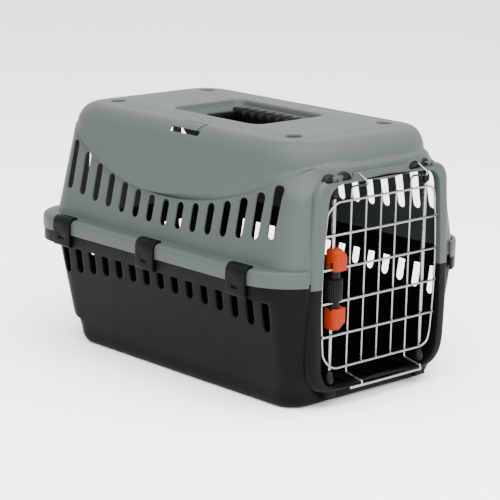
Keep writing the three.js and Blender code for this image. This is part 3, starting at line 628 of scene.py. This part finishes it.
def seam_ring(build, profile):
    """A flange round the shells, open at the doorway: profile is a closed list of (reach, z)."""
    keep, soft, core = 113.0, 4.0, 2.0  # |y| of its ends, length of their rounding, reach left there
    s = np.linspace(0, 1, 520)
    tip = np.array([0, 0.0006, 0.0014, 0.0024])
    s = np.concatenate([tip, s[2:-2], 1 - tip[::-1]])
    ends = np.minimum(s, 1 - s) * 1200
    swell = np.sqrt(np.clip(1 - (1 - np.clip(ends / soft, 0, 1)) ** 2, 0, 1))
    loops = []
    for reach, z in profile:
        r = core + (reach - core) * (0.35 + 0.65 * swell) if reach > core else np.full(len(s), float(reach))
        corner = FRONT_RADIUS + r * REACH_SHARE.corner
        first = STOPS[1] + np.arcsin((keep - HALF_WIDTH - r + corner) / corner) / (math.pi / 2) * LEGS[1]
        u = first + s * (ROUND - 2 * first)
        rear, front = REAR_X - r * REACH_SHARE.rear, FRONT_X + r * REACH_SHARE.front
        x, y = around(u, rear, front, HALF_WIDTH + r, REAR_RADIUS + r, corner)
        loops.append(np.stack([x, y, np.full(len(x), float(z))], 1))
    return bridge(build, [np.array([loop[k] for loop in loops]) for k in range(len(s))])


# ---- finishes ----
def finish(name, colour, rough, metallic=0.0, grain=0.05, grain_size=1400, blotch=0.04, specular=0.5):
    """A procedural finish: fine grain in the relief, and roughness and shade that vary slowly."""
    material = bpy.data.materials.new(name)
    material.use_nodes = True
    tree = material.node_tree
    shader = tree.nodes["Principled BSDF"]
    shader.inputs["Metallic"].default_value = metallic
    shader.inputs["Specular IOR Level"].default_value = specular

    def node(kind, output, **inputs):
        """A new node's output; each input is a value or another node's output."""
        made = tree.nodes.new(kind)
        for key, value in inputs.items():
            socket = made.inputs[key.replace("_", " ")]
            if isinstance(value, bpy.types.NodeSocket):
                tree.links.new(value, socket)
            else:
                socket.default_value = value
        return made.outputs[output]

    def noise(scale, detail):
        return node("ShaderNodeTexNoise", "Fac", Vector=place, Scale=scale, Detail=detail)

    def mapped(value, low, high):
        return node("ShaderNodeMapRange", "Result", Value=value, To_Min=low, To_Max=high)

    place = node("ShaderNodeTexCoord", "Object")
    shade = mapped(noise(9, 2), 1 - blotch, 1 + blotch)
    colour = node("ShaderNodeHueSaturation", "Color", Color=(*colour, 1), Value=shade)
    relief = node("ShaderNodeBump", "Normal", Strength=grain, Distance=0.0004, Height=noise(grain_size, 2))
    tree.links.new(mapped(noise(55, 3), rough - 0.06, rough + 0.06), shader.inputs["Roughness"])
    tree.links.new(colour, shader.inputs["Base Color"])
    tree.links.new(relief, shader.inputs["Normal"])
    return material


MATERIALS = {
    "grey": finish("grey_green_plastic", (0.028, 0.0365, 0.0335), 0.5, grain=0.16, specular=0.22),
    "charcoal": finish("charcoal_plastic", (0.0013, 0.0013, 0.0015), 0.5, grain=0.2, specular=0.05),
    "clip": finish("clip_plastic", (0.0011, 0.0011, 0.0012), 0.46, grain=0.12, specular=0.05),
    "handle": finish("handle_plastic", (0.0014, 0.0014, 0.0016), 0.42, grain=0.12, specular=0.06),
    "wire": finish("zinc_wire", (0.25, 0.25, 0.245), 0.26, metallic=1.0, grain_size=500, blotch=0.06),
    # the caps' own dark plastic; the same finish also paints shade into the door frame's pockets
    "cap": finish("cap_plastic", (0.0022, 0.0022, 0.0024), 0.4, grain=0.1, specular=0.1),
    "black": finish("latch_black_plastic", (0.0014, 0.0012, 0.0011), 0.4, grain=0.1, specular=0.08),
    "orange": finish("latch_orange_plastic", (0.175, 0.0145, 0.0022), 0.42, grain=0.1, specular=0.05),
}


# ---- upper shell ----
def upper_slots():
    holes = []
    for x in slot_places(SIDE_SLOTS):
        bow = (x / 170) ** 2
        shape = slot(x, 30 + 14.5 * bow, 59.4 + 42 * bow)
        flare = 0.34 * min(max((x - 50) / 120, 0), 1)
        rise = flare * (shape[:, 1] - 30 - 14.5 * bow) / (29.4 + 27.5 * bow)
        shape[:, 0] = x + (shape[:, 0] - x) * (1 + rise)
        holes += mirrored(upper_sizes, shape[:, 0], upper_t(shape[:, 1]))
    for y in slot_places(REAR_SLOTS):
        shape = slot(y, 46, 100)
        holes.append(np.column_stack([on_rear(upper_sizes, shape[:, 0], shape[:, 1]), shape[:, 1]]))
    return holes


def mirrored(sizes, x, t):
    """The same row of (u, t) on both side walls."""
    u = on_side(sizes, x, t)
    return [np.column_stack([u, t]), np.column_stack([ROUND - u, t])]


def ledge_lines():
    """Rows of points along the roof's lower edge, where the wall steps out."""
    u = np.linspace(1, ROUND - 1, 440)
    t = np.full(len(u), 80.0)
    for _ in range(30):
        t = 0.5 * t + 0.5 * edge_height(around(u, *upper_level(t, 0 * t)[0])[0])
    return [np.column_stack([u, t + d]) for d in (-2.1, -1.4, -0.6, 0.1, 0.7, 1.3, 2.0, 3.2)]


def recess_loop(share, grow):
    u = np.linspace(0, ROUND, 132, endpoint=False)
    sizes = zip(RECESS_MOUTH, RECESS_FLOOR, (-1, 1, 1, 1, 1))
    return np.column_stack(around(u, *(a + (b - a) * share + grow * g for a, b, g in sizes)))


def roof_height(x, y):
    level, _ = upper_level(np.full(1, UPPER_T), np.ones(1))
    rear, front, half = (float(v[0]) for v in level[:3])
    d = np.minimum(np.minimum(x - rear, front - x), half - np.abs(y))
    z = ROOF_Z + CROWN * smooth(d / CROWN_REACH)
    for cx, cy in DIMPLES:
        z = z - 1.9 * (1 - smooth((np.hypot(x - cx, y - cy) - 8.6) / 1.2))
    return z


def end_ring(surface, t):
    """Plan of a wall's end."""
    u = np.linspace(0, ROUND, 361)[:-1]
    return surface(u, np.full(len(u), float(t)))[:, :2]


def at_edge(loop, x, y):
    """Which points lie on the loop."""
    return clearance(loop, np.column_stack([x, y])) < 0.02


def roof_plate(build):
    """The roof, with the handle's recess."""
    ring = end_ring(upper_surface, UPPER_T)
    mouth = recess_loop(0, RECESS_LIP)
    angles = np.linspace(0, 2 * math.pi, 41)
    circles = [np.array([(cx + r * math.cos(a), cy + r * math.sin(a)) for a in angles])
               for cx, cy in DIMPLES for r in (8.3, 8.8, 9.2, 9.6, 10.1)]

    def point(x, y, depth):
        return np.stack([x, y, np.where(at_edge(ring, x, y), ROOF_Z, roof_height(x, y)) - depth], 1)

    def is_open(x, y):
        return at_edge(ring, x, y) | at_edge(mouth, x, y)

    def recess(share, grow, z):
        return np.column_stack([recess_loop(share, grow), z])

    plate(build, point, ring, lines=circles, step=(5, 5), is_open=is_open, bare_holes=[mouth])
    turn = np.linspace(0, math.pi / 2, 6)
    n, top = len(mouth), roof_height(*mouth.T)
    loops = [recess(0, RECESS_LIP * (1 - math.sin(a)), top - RECESS_LIP * (1 - math.cos(a))) for a in turn]
    loops += [recess(s, 0, (top - RECESS_LIP) * (1 - s) + (RECESS_Z + RECESS_FILLET) * s)
              for s in (0.25, 0.5, 0.75)]
    loops += [recess(1, -RECESS_FILLET * (1 - math.cos(a)),
                     np.full(n, RECESS_Z + RECESS_FILLET * (1 - math.sin(a)))) for a in turn]
    under = [recess(1, -1, np.full(n, RECESS_Z - WALL)), recess(1, WALL, np.full(n, RECESS_Z + 3.0)),
             recess(0, WALL, top - 4.5), np.column_stack([mouth, top - WALL])]
    bridge(build, loops, ends=False)
    bridge(build, under, ends=False)
    build.add(loops[-1], [tuple(range(n))])
    build.add(under[0], [tuple(range(n))[::-1]])


def roof_pads():
    """A dark disc set into each dimple."""
    build = Build()
    for cx, cy in DIMPLES:
        top = float(roof_height(np.array([cx + 0.0]), np.array([cy + 0.0]))[0])
        profile = [(0, top - 1), (8.2, top - 1), (8.2, top + 0.5), (7.7, top + 0.9), (0, top + 1.0)]
        lathe(build, cx, cy, profile, sides=36)
    build.object("roof_pads", "charcoal", "shells")


def side_block(build, side, x0, x1, y0, y1, z0, z1):
    """A block on one side of the middle plane."""
    a, b = sorted((side * y0, side * y1))
    return block(build, x0, x1, a, b, z0, z1)


def hook_cutters():
    """The tunnel, inner slit and front cut that free each belt tongue."""
    cuts = [(-12, 36, 104, 128, 133.8, 138.9), (-8, 32, 93.2, 95.2, 133.6, 150),
            (29.6, 32, 93.2, 128, 134.2, 150)]
    return [cutter(side_block(Build(), side, *cut), bevel=0.5) for side in (-1, 1) for cut in cuts]


upper_edge = doorway(**DOORWAY, grow=REBATE)
upper = Build()
outline = wall_outline(upper_sizes, upper_edge, upper_t, UPPER_T)
plate(upper, upper_point, outline, holes=upper_slots(), lines=ledge_lines(), step=(4.2, 3.6),
      is_open=wall_open(UPPER_T))
roof_plate(upper)


def collar(upper):
    """The frame of the doorway on one shell."""
    inner, outer = (doorway(**place, upper=upper, start=COLLAR_SEAM) for place in (DOORWAY, COLLAR))
    f, b = COLLAR_FACE, COLLAR_BACK
    profile = [(0, None, b), (0, None, f - 1), (0.3, None, f - 0.3), (1, None, f), (3, None, f), (0, 8.5, f),
               (0, 6, f - 0.35), (0, 3.6, f - 1.3), (0, 1.6, f - 2.9), (0, 0.4, f - 4.8), (0, 0, f - 6.5),
               (0, 0, b)]
    return sweep_arch(Build(), inner, outer, profile)


def lobe(centre, foot, half, rise, scale, x):
    """A half-round outline standing on a flat foot."""
    a = np.linspace(0, math.pi, 17)
    y = centre + half * scale * np.concatenate([np.cos(a), [-0.9, 0.9]])
    z = foot + (1 - scale) * 2 + np.concatenate([rise * scale * np.sin(a) + 0.8, [0, 0]])
    return np.column_stack([np.full(len(y), x), y, z])


def pocket_cutters():
    return [cutter(bridge(Build(), [lobe(*p, 1, x) for x in (207.5, 218)])) for p in POCKETS]


def painted_pocket_shade():
    """Painted shade: dark lobes of cap plastic set back inside the pockets, darkening them as their depth
    would.
    """
    build = Build()
    rows = ((1.08, 205), (1.08, 208.2), (0.96, 209.6), (0.7, 210.6), (0.3, 211))
    for p in POCKETS:
        bridge(build, [lobe(*p, s, x) for s, x in rows])
    # painted shade: these dark lobes stand in for the shade deep inside each pocket
    build.object("pocket_shade_lobes", "cap", "shells", angle=50)


def fascia_step():
    """The ledge between the pockets, above the collar."""
    step = block(Build(), 206, 213.2, -50, 36, 106, 114)
    step.object("fascia_step", "grey", "shells", bevel=1.1, segments=3)


painted_pocket_shade()
fascia_step()
roof_pads()
upper.object("upper_shell_body", "grey", "shells", nodes=["upper_shell"], weld=0.02,
             cutters=hook_cutters() + pocket_cutters())
collar(True).object("upper_collar", "grey", "shells", cutters=pocket_cutters())
collar(False).object("lower_collar", "charcoal", "shells")

RIM_PROFILE = [(2, 0.2), (15.6, 0.2), (15.6, -2.8), (16.6, -2.8), (17, -2.3), (17, 8.2), (16.6, 10.6),
               (15.4, 12.6), (13.4, 13.9), (10.5, 14.5), (2, 14.9), (-3.2, 15.2), (-3.2, 0.2)]
seam_ring(Build(), RIM_PROFILE).object("upper_rim", "grey", "shells", angle=28)


# ---- lower shell ----
def lower_slots():
    holes = []
    for x in slot_places(SIDE_SLOTS):
        shape = slot(x, -43.4 - 13.5 * (x / 170) ** 2, -25, flat_top=True)
        holes += mirrored(lower_sizes, shape[:, 0], -shape[:, 1])
    for y in slot_places(REAR_SLOTS):
        shape = slot(y, -50, -25, flat_top=True)
        holes.append(np.column_stack([on_rear(lower_sizes, shape[:, 0], -shape[:, 1]), -shape[:, 1]]))
    return holes


def arc_lines():
    """Rows of points along the arched crease."""
    x = np.linspace(-168, 40, 60)
    return [row for d in (-0.6, 0.4, 1.2, 2.0, 3.0) for row in mirrored(lower_sizes, x, arc_depth(x) + d)]


def step_lines():
    u = np.linspace(2, ROUND - 2, 300)
    return [np.column_stack([u, np.full(len(u), t)]) for t in (111.6, 113, 114.5, 116, 117.4)]


lower_edge = doorway(**DOORWAY, grow=REBATE, upper=False)
lower = Build()
outline = wall_outline(lower_sizes, lower_edge, lambda z: -z, LOWER_T)
plate(lower, lower_point, outline, holes=lower_slots(), lines=arc_lines() + step_lines(),
      step=(4.2, 3.8), is_open=wall_open(LOWER_T))


def floor_plate(build):
    """The floor and its ribs."""
    ring = end_ring(lower_surface, LOWER_T)

    def point(x, y, depth):
        d = clearance(ring, np.column_stack([x, y]))
        return np.stack([x, y, -SEAM + 2.4 * smooth((d - 9) / 5) + depth], 1)

    plate(build, point, ring, step=(7, 7), is_open=lambda x, y: at_edge(ring, x, y))
    for y in np.linspace(-80, 80, 9):
        section = [(y - 1.8, -139.8), (y + 1.8, -139.8), (y + 1.1, -137.2), (y, -136.8), (y - 1.1, -137.2)]
        prism(build, section, -140, 165)


floor_plate(lower)
lower.object("lower_shell_body", "charcoal", "shells", nodes=["lower_shell"], weld=0.02)


def notch_cutters():
    """Gaps in the skirt that the clips sit in."""
    room = CLIP_HALF + 0.8
    return [cutter(side_block(Build(), side, x - room, x + room, 146.2, 166, -30, CLIP_Z + 4.6))
            for x in CLIP_X for side in (-1, 1)]


SKIRT_PROFILE = [(0, -0.2), (15.2, -0.2), (15.5, -0.5), (15.5, -16.2), (15.1, -17.2), (14.3, -17.5),
                 (13.0, -17.5), (12.6, -17.0), (12.6, -7), (1.5, -6.6), (0, -6.6)]
skirt = seam_ring(Build(), SKIRT_PROFILE)
skirt.object("lower_skirt", "charcoal", "shells", angle=28, cutters=notch_cutters())


def lugs():
    """Blocks behind each clip that hold its pin."""
    build = Build()
    for x in CLIP_X:
        for side in (-1, 1):
            for x0, x1 in ((x - 20, x - 15.8), (x + 15.8, x + 20)):
                side_block(build, side, x0, x1, 141, 153.5, -17.3, -6)
    return build


lugs().object("clip_lugs", "charcoal", "shells", bevel=0.8)


def sockets():
    """Blocks above and below the doorway that the rods turn in."""
    top, low = Build(), Build()
    for y in (LATCH_Y, HINGE_Y):
        block(top, 200, 211, y - 8, y + 8, 104.5, 112.5)
        block(low, 200, 211, y - 8, y + 8, -134, -121.2)
    top.object("upper_sockets", "grey", "shells", bevel=0.8)
    low.object("lower_sockets", "charcoal", "shells", bevel=0.8)


sockets()


# ---- clips ----
CLIP_SECTION = [(150.5, -17.6), (157.6, -17.6), (159.3, -16.6), (160, -14.8), (160, 8.6), (159.6, 11),
                (158.4, 13.6), (156.4, 15.9), (153.6, 17.2), (147.6, 17.2), (147, 16.6), (147, 15.1),
                (150.4, 15.0), (153.8, 14.2), (156, 12.2), (157.3, 8.6), (157.4, -10.4), (152.6, -10.4),
                (150.5, -10.4), (148.2, -11.2), (147, -13), (147, -15), (148.2, -16.8)]


def clip(x, side, name):
    strap = prism(Build(), [(side * y, z) for y, z in CLIP_SECTION][::side], x - CLIP_HALF, x + CLIP_HALF)
    slit = cutter(side_block(Build(), side, x - 5, x + 5, 158.2, 165, -8.6, -5.4))
    strap.object(f"clip_{name}_strap", "clip", f"clip_{name}", nodes=[f"clip_{name}"], bevel=0.55,
                 segments=3, cutters=[slit])
    pin = straight((x - 18.5, side * CLIP_Y, CLIP_Z), (x + 18.5, side * CLIP_Y, CLIP_Z), 1.5)
    pin.object(f"clip_{name}_pin", "wire", "shells", nodes=[f"clip_pin_{name}"])


for x, along in zip(CLIP_X, ("rear", "middle", "front")):
    for side, hand in ((-1, "left"), (1, "right")):
        clip(x, side, f"{hand}_{along}")


# ---- carry handle ----
def handle():
    h, w = HANDLE, SCALLOP
    bail, sections = Build(), []
    for x in np.linspace(h.rear, h.front, 230):
        soft = min(x - h.rear, h.front - x)
        pinch = h.soft * (1 - math.sqrt(max(0, 1 - (1 - min(soft / h.soft, 1)) ** 2)))
        wave = 0.0
        if w.start < x < w.end:
            wave = max(0.0, math.cos((x - w.centre) / w.pitch * 2 * math.pi)) ** 0.6
        y0, y1, z0, z1 = h.near + pinch, h.far - pinch, h.low + pinch * 0.6, h.high - pinch
        lip = z1 - w.depth * wave
        section = [(y0 + 0.8, z0 + 1.2), (y0 + 3.5, z0), (y1 - 3.5, z0), (y1 - 0.8, z0 + 1.2), (y1, z0 + 4),
                   (y1, z1 - 4.5), (y1 - 1.2, z1 - 1.6), (y1 - 4, z1), (y0 + 11, z1),
                   (y0 + 8, z1 - w.top * wave), (y0 + 4, lip), (y0 + 1.4, lip - 1.2), (y0, lip - 4),
                   (y0, z0 + 4)]
        sections.append([(x, y, z) for y, z in section])
    bridge(bail, sections)
    py, pz, r = h.pivot_y, h.pivot_z, h.arm_half
    angles = np.linspace(math.pi / 2, 1.5 * math.pi, 15)[1:-1]
    arm = [(h.near + 5, pz + r), (py, pz + r)]
    arm += [(py + r * math.cos(a), pz + r * math.sin(a)) for a in angles]
    arm += [(py, pz - r), (h.near + 5, pz - r)]
    for x0 in (h.rear, h.front - h.arm):
        x1 = x0 + h.arm
        ends = (x0, 0.86), (x0 + 0.5, 0.95), (x0 + 1.4, 1), (x1 - 1.4, 1), (x1 - 0.5, 0.95), (x1, 0.86)
        loops = []
        for x, s in ends:
            loops.append([(x, py + (y - py) * (s if y < h.near else 1), pz + (z - pz) * s) for y, z in arm])
        bridge(bail, loops)
    bail.object("carry_handle_grip", "handle", "handle", nodes=["carry_handle"], angle=50)
    for name, x0, x1 in (("rear", -72, -55.6), ("front", 57.6, 68)):
        pin = straight((x0, py, pz), (x1, py, pz), 2.5, sides=20)
        pin.object(f"handle_pin_{name}_round", "handle", "shells", nodes=[f"handle_pin_{name}"])
    rests = Build()
    for x in (-56, 50):
        block(rests, x, x + 8, 28, 42, 116, 125.5)
    rests.object("handle_rests", "grey", "shells", bevel=0.8)


handle()


# ---- wire door ----
def loop_path():
    """The loop's centre line; its corners step forward, to the crossbars' plane."""
    w, path, steps = LOOP, [], 18

    def corner(cy, cz, radius, quarter):
        for k in range(steps + 1):
            a = math.pi / 2 * (quarter + k / steps)
            s = float(smooth(((1 - k / steps if quarter % 2 else k / steps) - 0.1) / 0.55))
            x = WIRE_PLANE + (BAR_PLANE - WIRE_PLANE) * s
            path.append((x, cy + radius * math.cos(a), cz + radius * math.sin(a)))

    def bow(side):
        for t in np.linspace(0, 1, 14)[1:-1]:
            s = t if side > 0 else 1 - t
            y = w.shift + side * (w.half - s + w.bow * s * (1 - s))
            path.append((WIRE_PLANE, y, w.bottom * (1 - s) + w.top * s))

    bow(1)
    corner(70, w.top, w.top_radius, 0)
    corner(-66, w.top, w.top_radius, 1)
    bow(-1)
    corner(-63, w.bottom, w.bottom_radius, 2)
    corner(67, w.bottom, w.bottom_radius, 3)
    return path


def weld_spots():
    """Where wires cross: (x, y, z, height against width)."""
    loop, x = np.array(loop_path()), (WIRE_PLANE + BAR_PLANE) / 2
    spots = [(x, y, z, 1.0) for z, _ in CROSSBARS for y in UPRIGHTS]
    for z, _ in CROSSBARS:
        for side in (-1, 1):
            rows = loop[np.sign(loop[:, 1]) == side]
            spots.append((x, rows[np.argmin(np.abs(rows[:, 2] - z)), 1], z, 1.0))
    spots += [(x, y, z, 1.0) for z in LOOP_Z for y in UPRIGHTS]
    return spots + [(232.8, y, -116.2, 0.9) for y in (UPRIGHTS[0], UPRIGHTS[4])]


def door():
    loop = tube(Build(), loop_path(), WIRE, closed=True)
    loop.object("door_loop_wire", "wire", "door", nodes=["door_loop"])
    hook = [(232.6, -115.5), (232.4, -112.6), (214, -109.8), (208, -108.2), (WIRE_PLANE, -100),
            (WIRE_PLANE, 92), (208.6, 97.6), (213.5, 99.4), (230.6, 103), (230.4, 106.4), (216, 113.6)]
    for i, y in enumerate(UPRIGHTS, 1):
        if i in (1, 5):
            wire = tube(Build(), fillet([(x, y, z) for x, z in hook], 3.2), UPRIGHT_WIRE)
        else:
            wire = straight((WIRE_PLANE, y, -102.1), (WIRE_PLANE, y, 85.9), UPRIGHT_WIRE)
        wire.object(f"door_upright_{i}_wire", "wire", "door", nodes=[f"door_upright_{i}"])
    for i, (z, half) in enumerate(CROSSBARS, 1):
        bar = straight((BAR_PLANE, -half, z), (BAR_PLANE, half, z), WIRE)
        bar.object(f"door_crossbar_{i}_wire", "wire", "door", nodes=[f"door_crossbar_{i}"])
    stop = straight((STOP_X, -66, STOP_Z), (STOP_X, 47.5, STOP_Z), WIRE)
    stop.object("door_stop_wire", "wire", "door", nodes=["door_stop_bar"])
    welds = Build()
    rows = [(max(math.sin(t), 0.03), math.cos(t)) for t in np.linspace(0, math.pi, 7)]
    ring = np.linspace(0, 2 * math.pi, 10, endpoint=False)
    for i, (x, y, z, tall) in enumerate(weld_spots()):
        across, high = 1.75 * (1 + 0.12 * math.sin(i * 2.4)), 1.75 * tall
        bridge(welds, [[(x + 1.5 * c, y + across * r * math.cos(q), z + high * r * math.sin(q))
                        for q in ring] for r, c in rows])
    welds.object("door_welds", "wire", "door", angle=60)


door()


# ---- rods, caps and latch ----
LOW_CAP = fillet([(0, -125), (2.7, -125), (2.9, -119.5), (5.0, -116.2), (5.5, -111), (4.0, -105.5),
                  (2.7, -103), (0, -103)], 1.3, 4)
TOP_CAP = fillet([(0, 88), (3.0, 88), (4.3, 90.8), (4.3, 96), (2.9, 98), (2.8, 106), (0, 106)], 0.9, 4)


def cap(name, y, profile, body, node, flat=None):
    """A turned cap on a rod; between the heights in flat its front is cut level."""
    build = lathe(Build(), ROD_X, y, profile)
    if flat:
        co = build.points[-1]
        band = (co[:, 2] > flat[0]) & (co[:, 2] < flat[1])
        co[band, 0] = np.minimum(co[band, 0], ROD_X + 2.35)
    build.object(name, "cap", body, nodes=[node], angle=40)


def rod(name, body, node, y, z0, z1):
    made = straight((ROD_X, y, z0), (ROD_X, y, z1), ROD_RADIUS, sides=20)
    made.object(name, "wire", body, nodes=[node])


def housing():
    """The ribbed body, its two necks and the bore that the rods slide in."""
    r = LATCH_R
    profile = [(0, -23.4), (8.4, -23.4), (9.2, -23.0), (r, -22.2), (r, -12), (r, -1), (9.2, 0), (8.4, 0.4),
               (0, 0.4)]
    build = lathe(Build(), LATCH_X, LATCH_CY, profile, sides=8 * RIB_COUNT,
                  shape=lambda a: 1 - RIB_DEPTH * (0.5 + 0.5 * np.cos(a * RIB_COUNT)) ** 2)
    for z0, z1 in ((-39.8, -23.6), (0.6, 16.8)):
        lathe(build, LATCH_X, LATCH_CY, [(0, z0), (LATCH_CORE, z0), (LATCH_CORE, z1), (0, z1)], sides=24)
    bars = [CROSSBARS[k][0] for k in (1, 2)]
    cuts = [straight((BAR_PLANE, -95, z), (BAR_PLANE, -40, z), 1.75) for z in bars]
    cuts.append(straight((ROD_X, LATCH_Y, -42), (ROD_X, LATCH_Y, 19), LATCH_BORE, sides=24))
    build.object("latch_housing_body", "black", "door", nodes=["latch_housing"], angle=40,
                 cutters=[cutter(cut) for cut in cuts])


def grip(up, name):
    """A squeeze grip, hollow round the housing's neck and cut behind the crossbar."""
    inner, bar = (9, CROSSBARS[1][0]) if up > 0 else (-32, CROSSBARS[2][0])
    z = lambda d: inner + up * d
    outline = [(-77.5, 0), (-57.5, 0), (-57.5, 18), (-66.5, 25), (-75.5, 24), (-77.5, 22)]
    loops = []
    for x, grow in ((201.5, 0.0), (212.6, 0.0), (217.0, -2.6)):
        loops.append([(x, y + (-grow if y < -67 else grow), z(max(d + (grow if d > 5 else 0), 0)))
                      for y, d in outline])
    a, b = sorted((z(-2), bar + up * 8.5))
    hollow = straight((LATCH_X, LATCH_CY, z(-9)), (LATCH_X, LATCH_CY, z(18)), GRIP_ROOM, sides=28)
    tools = [cutter(block(Build(), 209.2, 212.6, -100, -40, a, b)), cutter(hollow)]
    body = bridge(Build(), loops)
    body.object(f"latch_grip_{name}_block", "orange", f"latch_{name}", nodes=[f"latch_grip_{name}"],
                bevel=0.9, segments=3, cutters=tools, bevel_first=True)


rod("door_hinge_shaft", "door", "door_hinge_rod", HINGE_Y, -102.7, 87.7)
cap("hinge_cap_top", HINGE_Y, TOP_CAP, "door", "hinge_cap_upper")
cap("hinge_cap_foot", HINGE_Y, LOW_CAP, "door", "hinge_cap_lower")
rod("latch_upper_shaft", "latch_upper", "latch_rod_upper", LATCH_Y, 1.0, 87.7)
cap("latch_upper_cap", LATCH_Y, TOP_CAP, "latch_upper", "latch_tip_upper", (80, 91.6))
rod("latch_lower_shaft", "latch_lower", "latch_rod_lower", LATCH_Y, -24, -102.7)
cap("latch_lower_cap", LATCH_Y, LOW_CAP, "latch_lower", "latch_tip_lower", (-109.2, -100))
housing()
grip(1, "upper")
grip(-1, "lower")
for name in ("latch_spring_upper", "latch_spring_lower"):
    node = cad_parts[name]
    node.data.materials.clear()
    node.data.materials.append(MATERIALS["wire"])


# ---- floor, light and camera ----
def stage():
    """A white floor and an even white surround."""
    mesh = bpy.data.meshes.new("floor")
    far, z = 6, -0.0005
    mesh.from_pydata([(-far, -far, z), (far, -far, z), (far, far, z), (-far, far, z)], [], [(0, 1, 2, 3)])
    floor = added("floor", mesh)
    plain = bpy.data.materials.new("floor")
    plain.use_nodes = True
    shader = plain.node_tree.nodes["Principled BSDF"]
    shader.inputs["Base Color"].default_value = (0.98, 0.98, 0.98, 1)
    shader.inputs["Roughness"].default_value = 0.9
    mesh.materials.append(plain)
    world = bpy.data.worlds.new("studio")
    world.use_nodes = True
    light = world.node_tree.nodes["Background"].inputs
    light["Color"].default_value, light["Strength"].default_value = (1, 1, 1, 1), 2.3
    bpy.context.scene.world = world


def lamp(name, place, target, size, power):
    light = bpy.data.lights.new(name, "AREA")
    light.shape, light.size, light.size_y, light.energy = "RECTANGLE", size[0], size[1], power
    made = added(name, light)
    made.location = place
    made.rotation_euler = (Vector(target) - Vector(place)).to_track_quat("-Z", "Y").to_euler()


def camera():
    az, el, roll = (math.radians(v) for v in CAMERA.turns)
    back = Vector((math.sin(az) * math.cos(el), -math.cos(az) * math.cos(el), math.sin(el)))
    level = Vector((math.cos(az), math.sin(az), 0))
    high = level.cross(-back)
    right = math.cos(roll) * level + math.sin(roll) * high
    up = -math.sin(roll) * level + math.cos(roll) * high
    data = bpy.data.cameras.new("camera")
    data.lens, data.sensor_width = CAMERA.lens, 36
    made = added("camera", data)
    turn = Matrix((right, up, back)).transposed().to_4x4()
    made.matrix_world = Matrix.Translation(CAMERA.place) @ turn
    bpy.context.scene.camera = made


stage()
lamp("key", (0.4, -1.6, 1.7), (0, 0, 0.15), (1.6, 1.2), 31)
lamp("front", (1.9, -0.3, 1.0), (0, 0, 0.15), (1.2, 1.2), 21)
lamp("corner", (1.5, -1.5, 0.85), (0, 0, 0.15), (0.7, 0.9), 20)
lamp("top", (0.7, -0.1, 2.2), (0.1, 0, 0), (2.6, 2.6), 160)
camera()
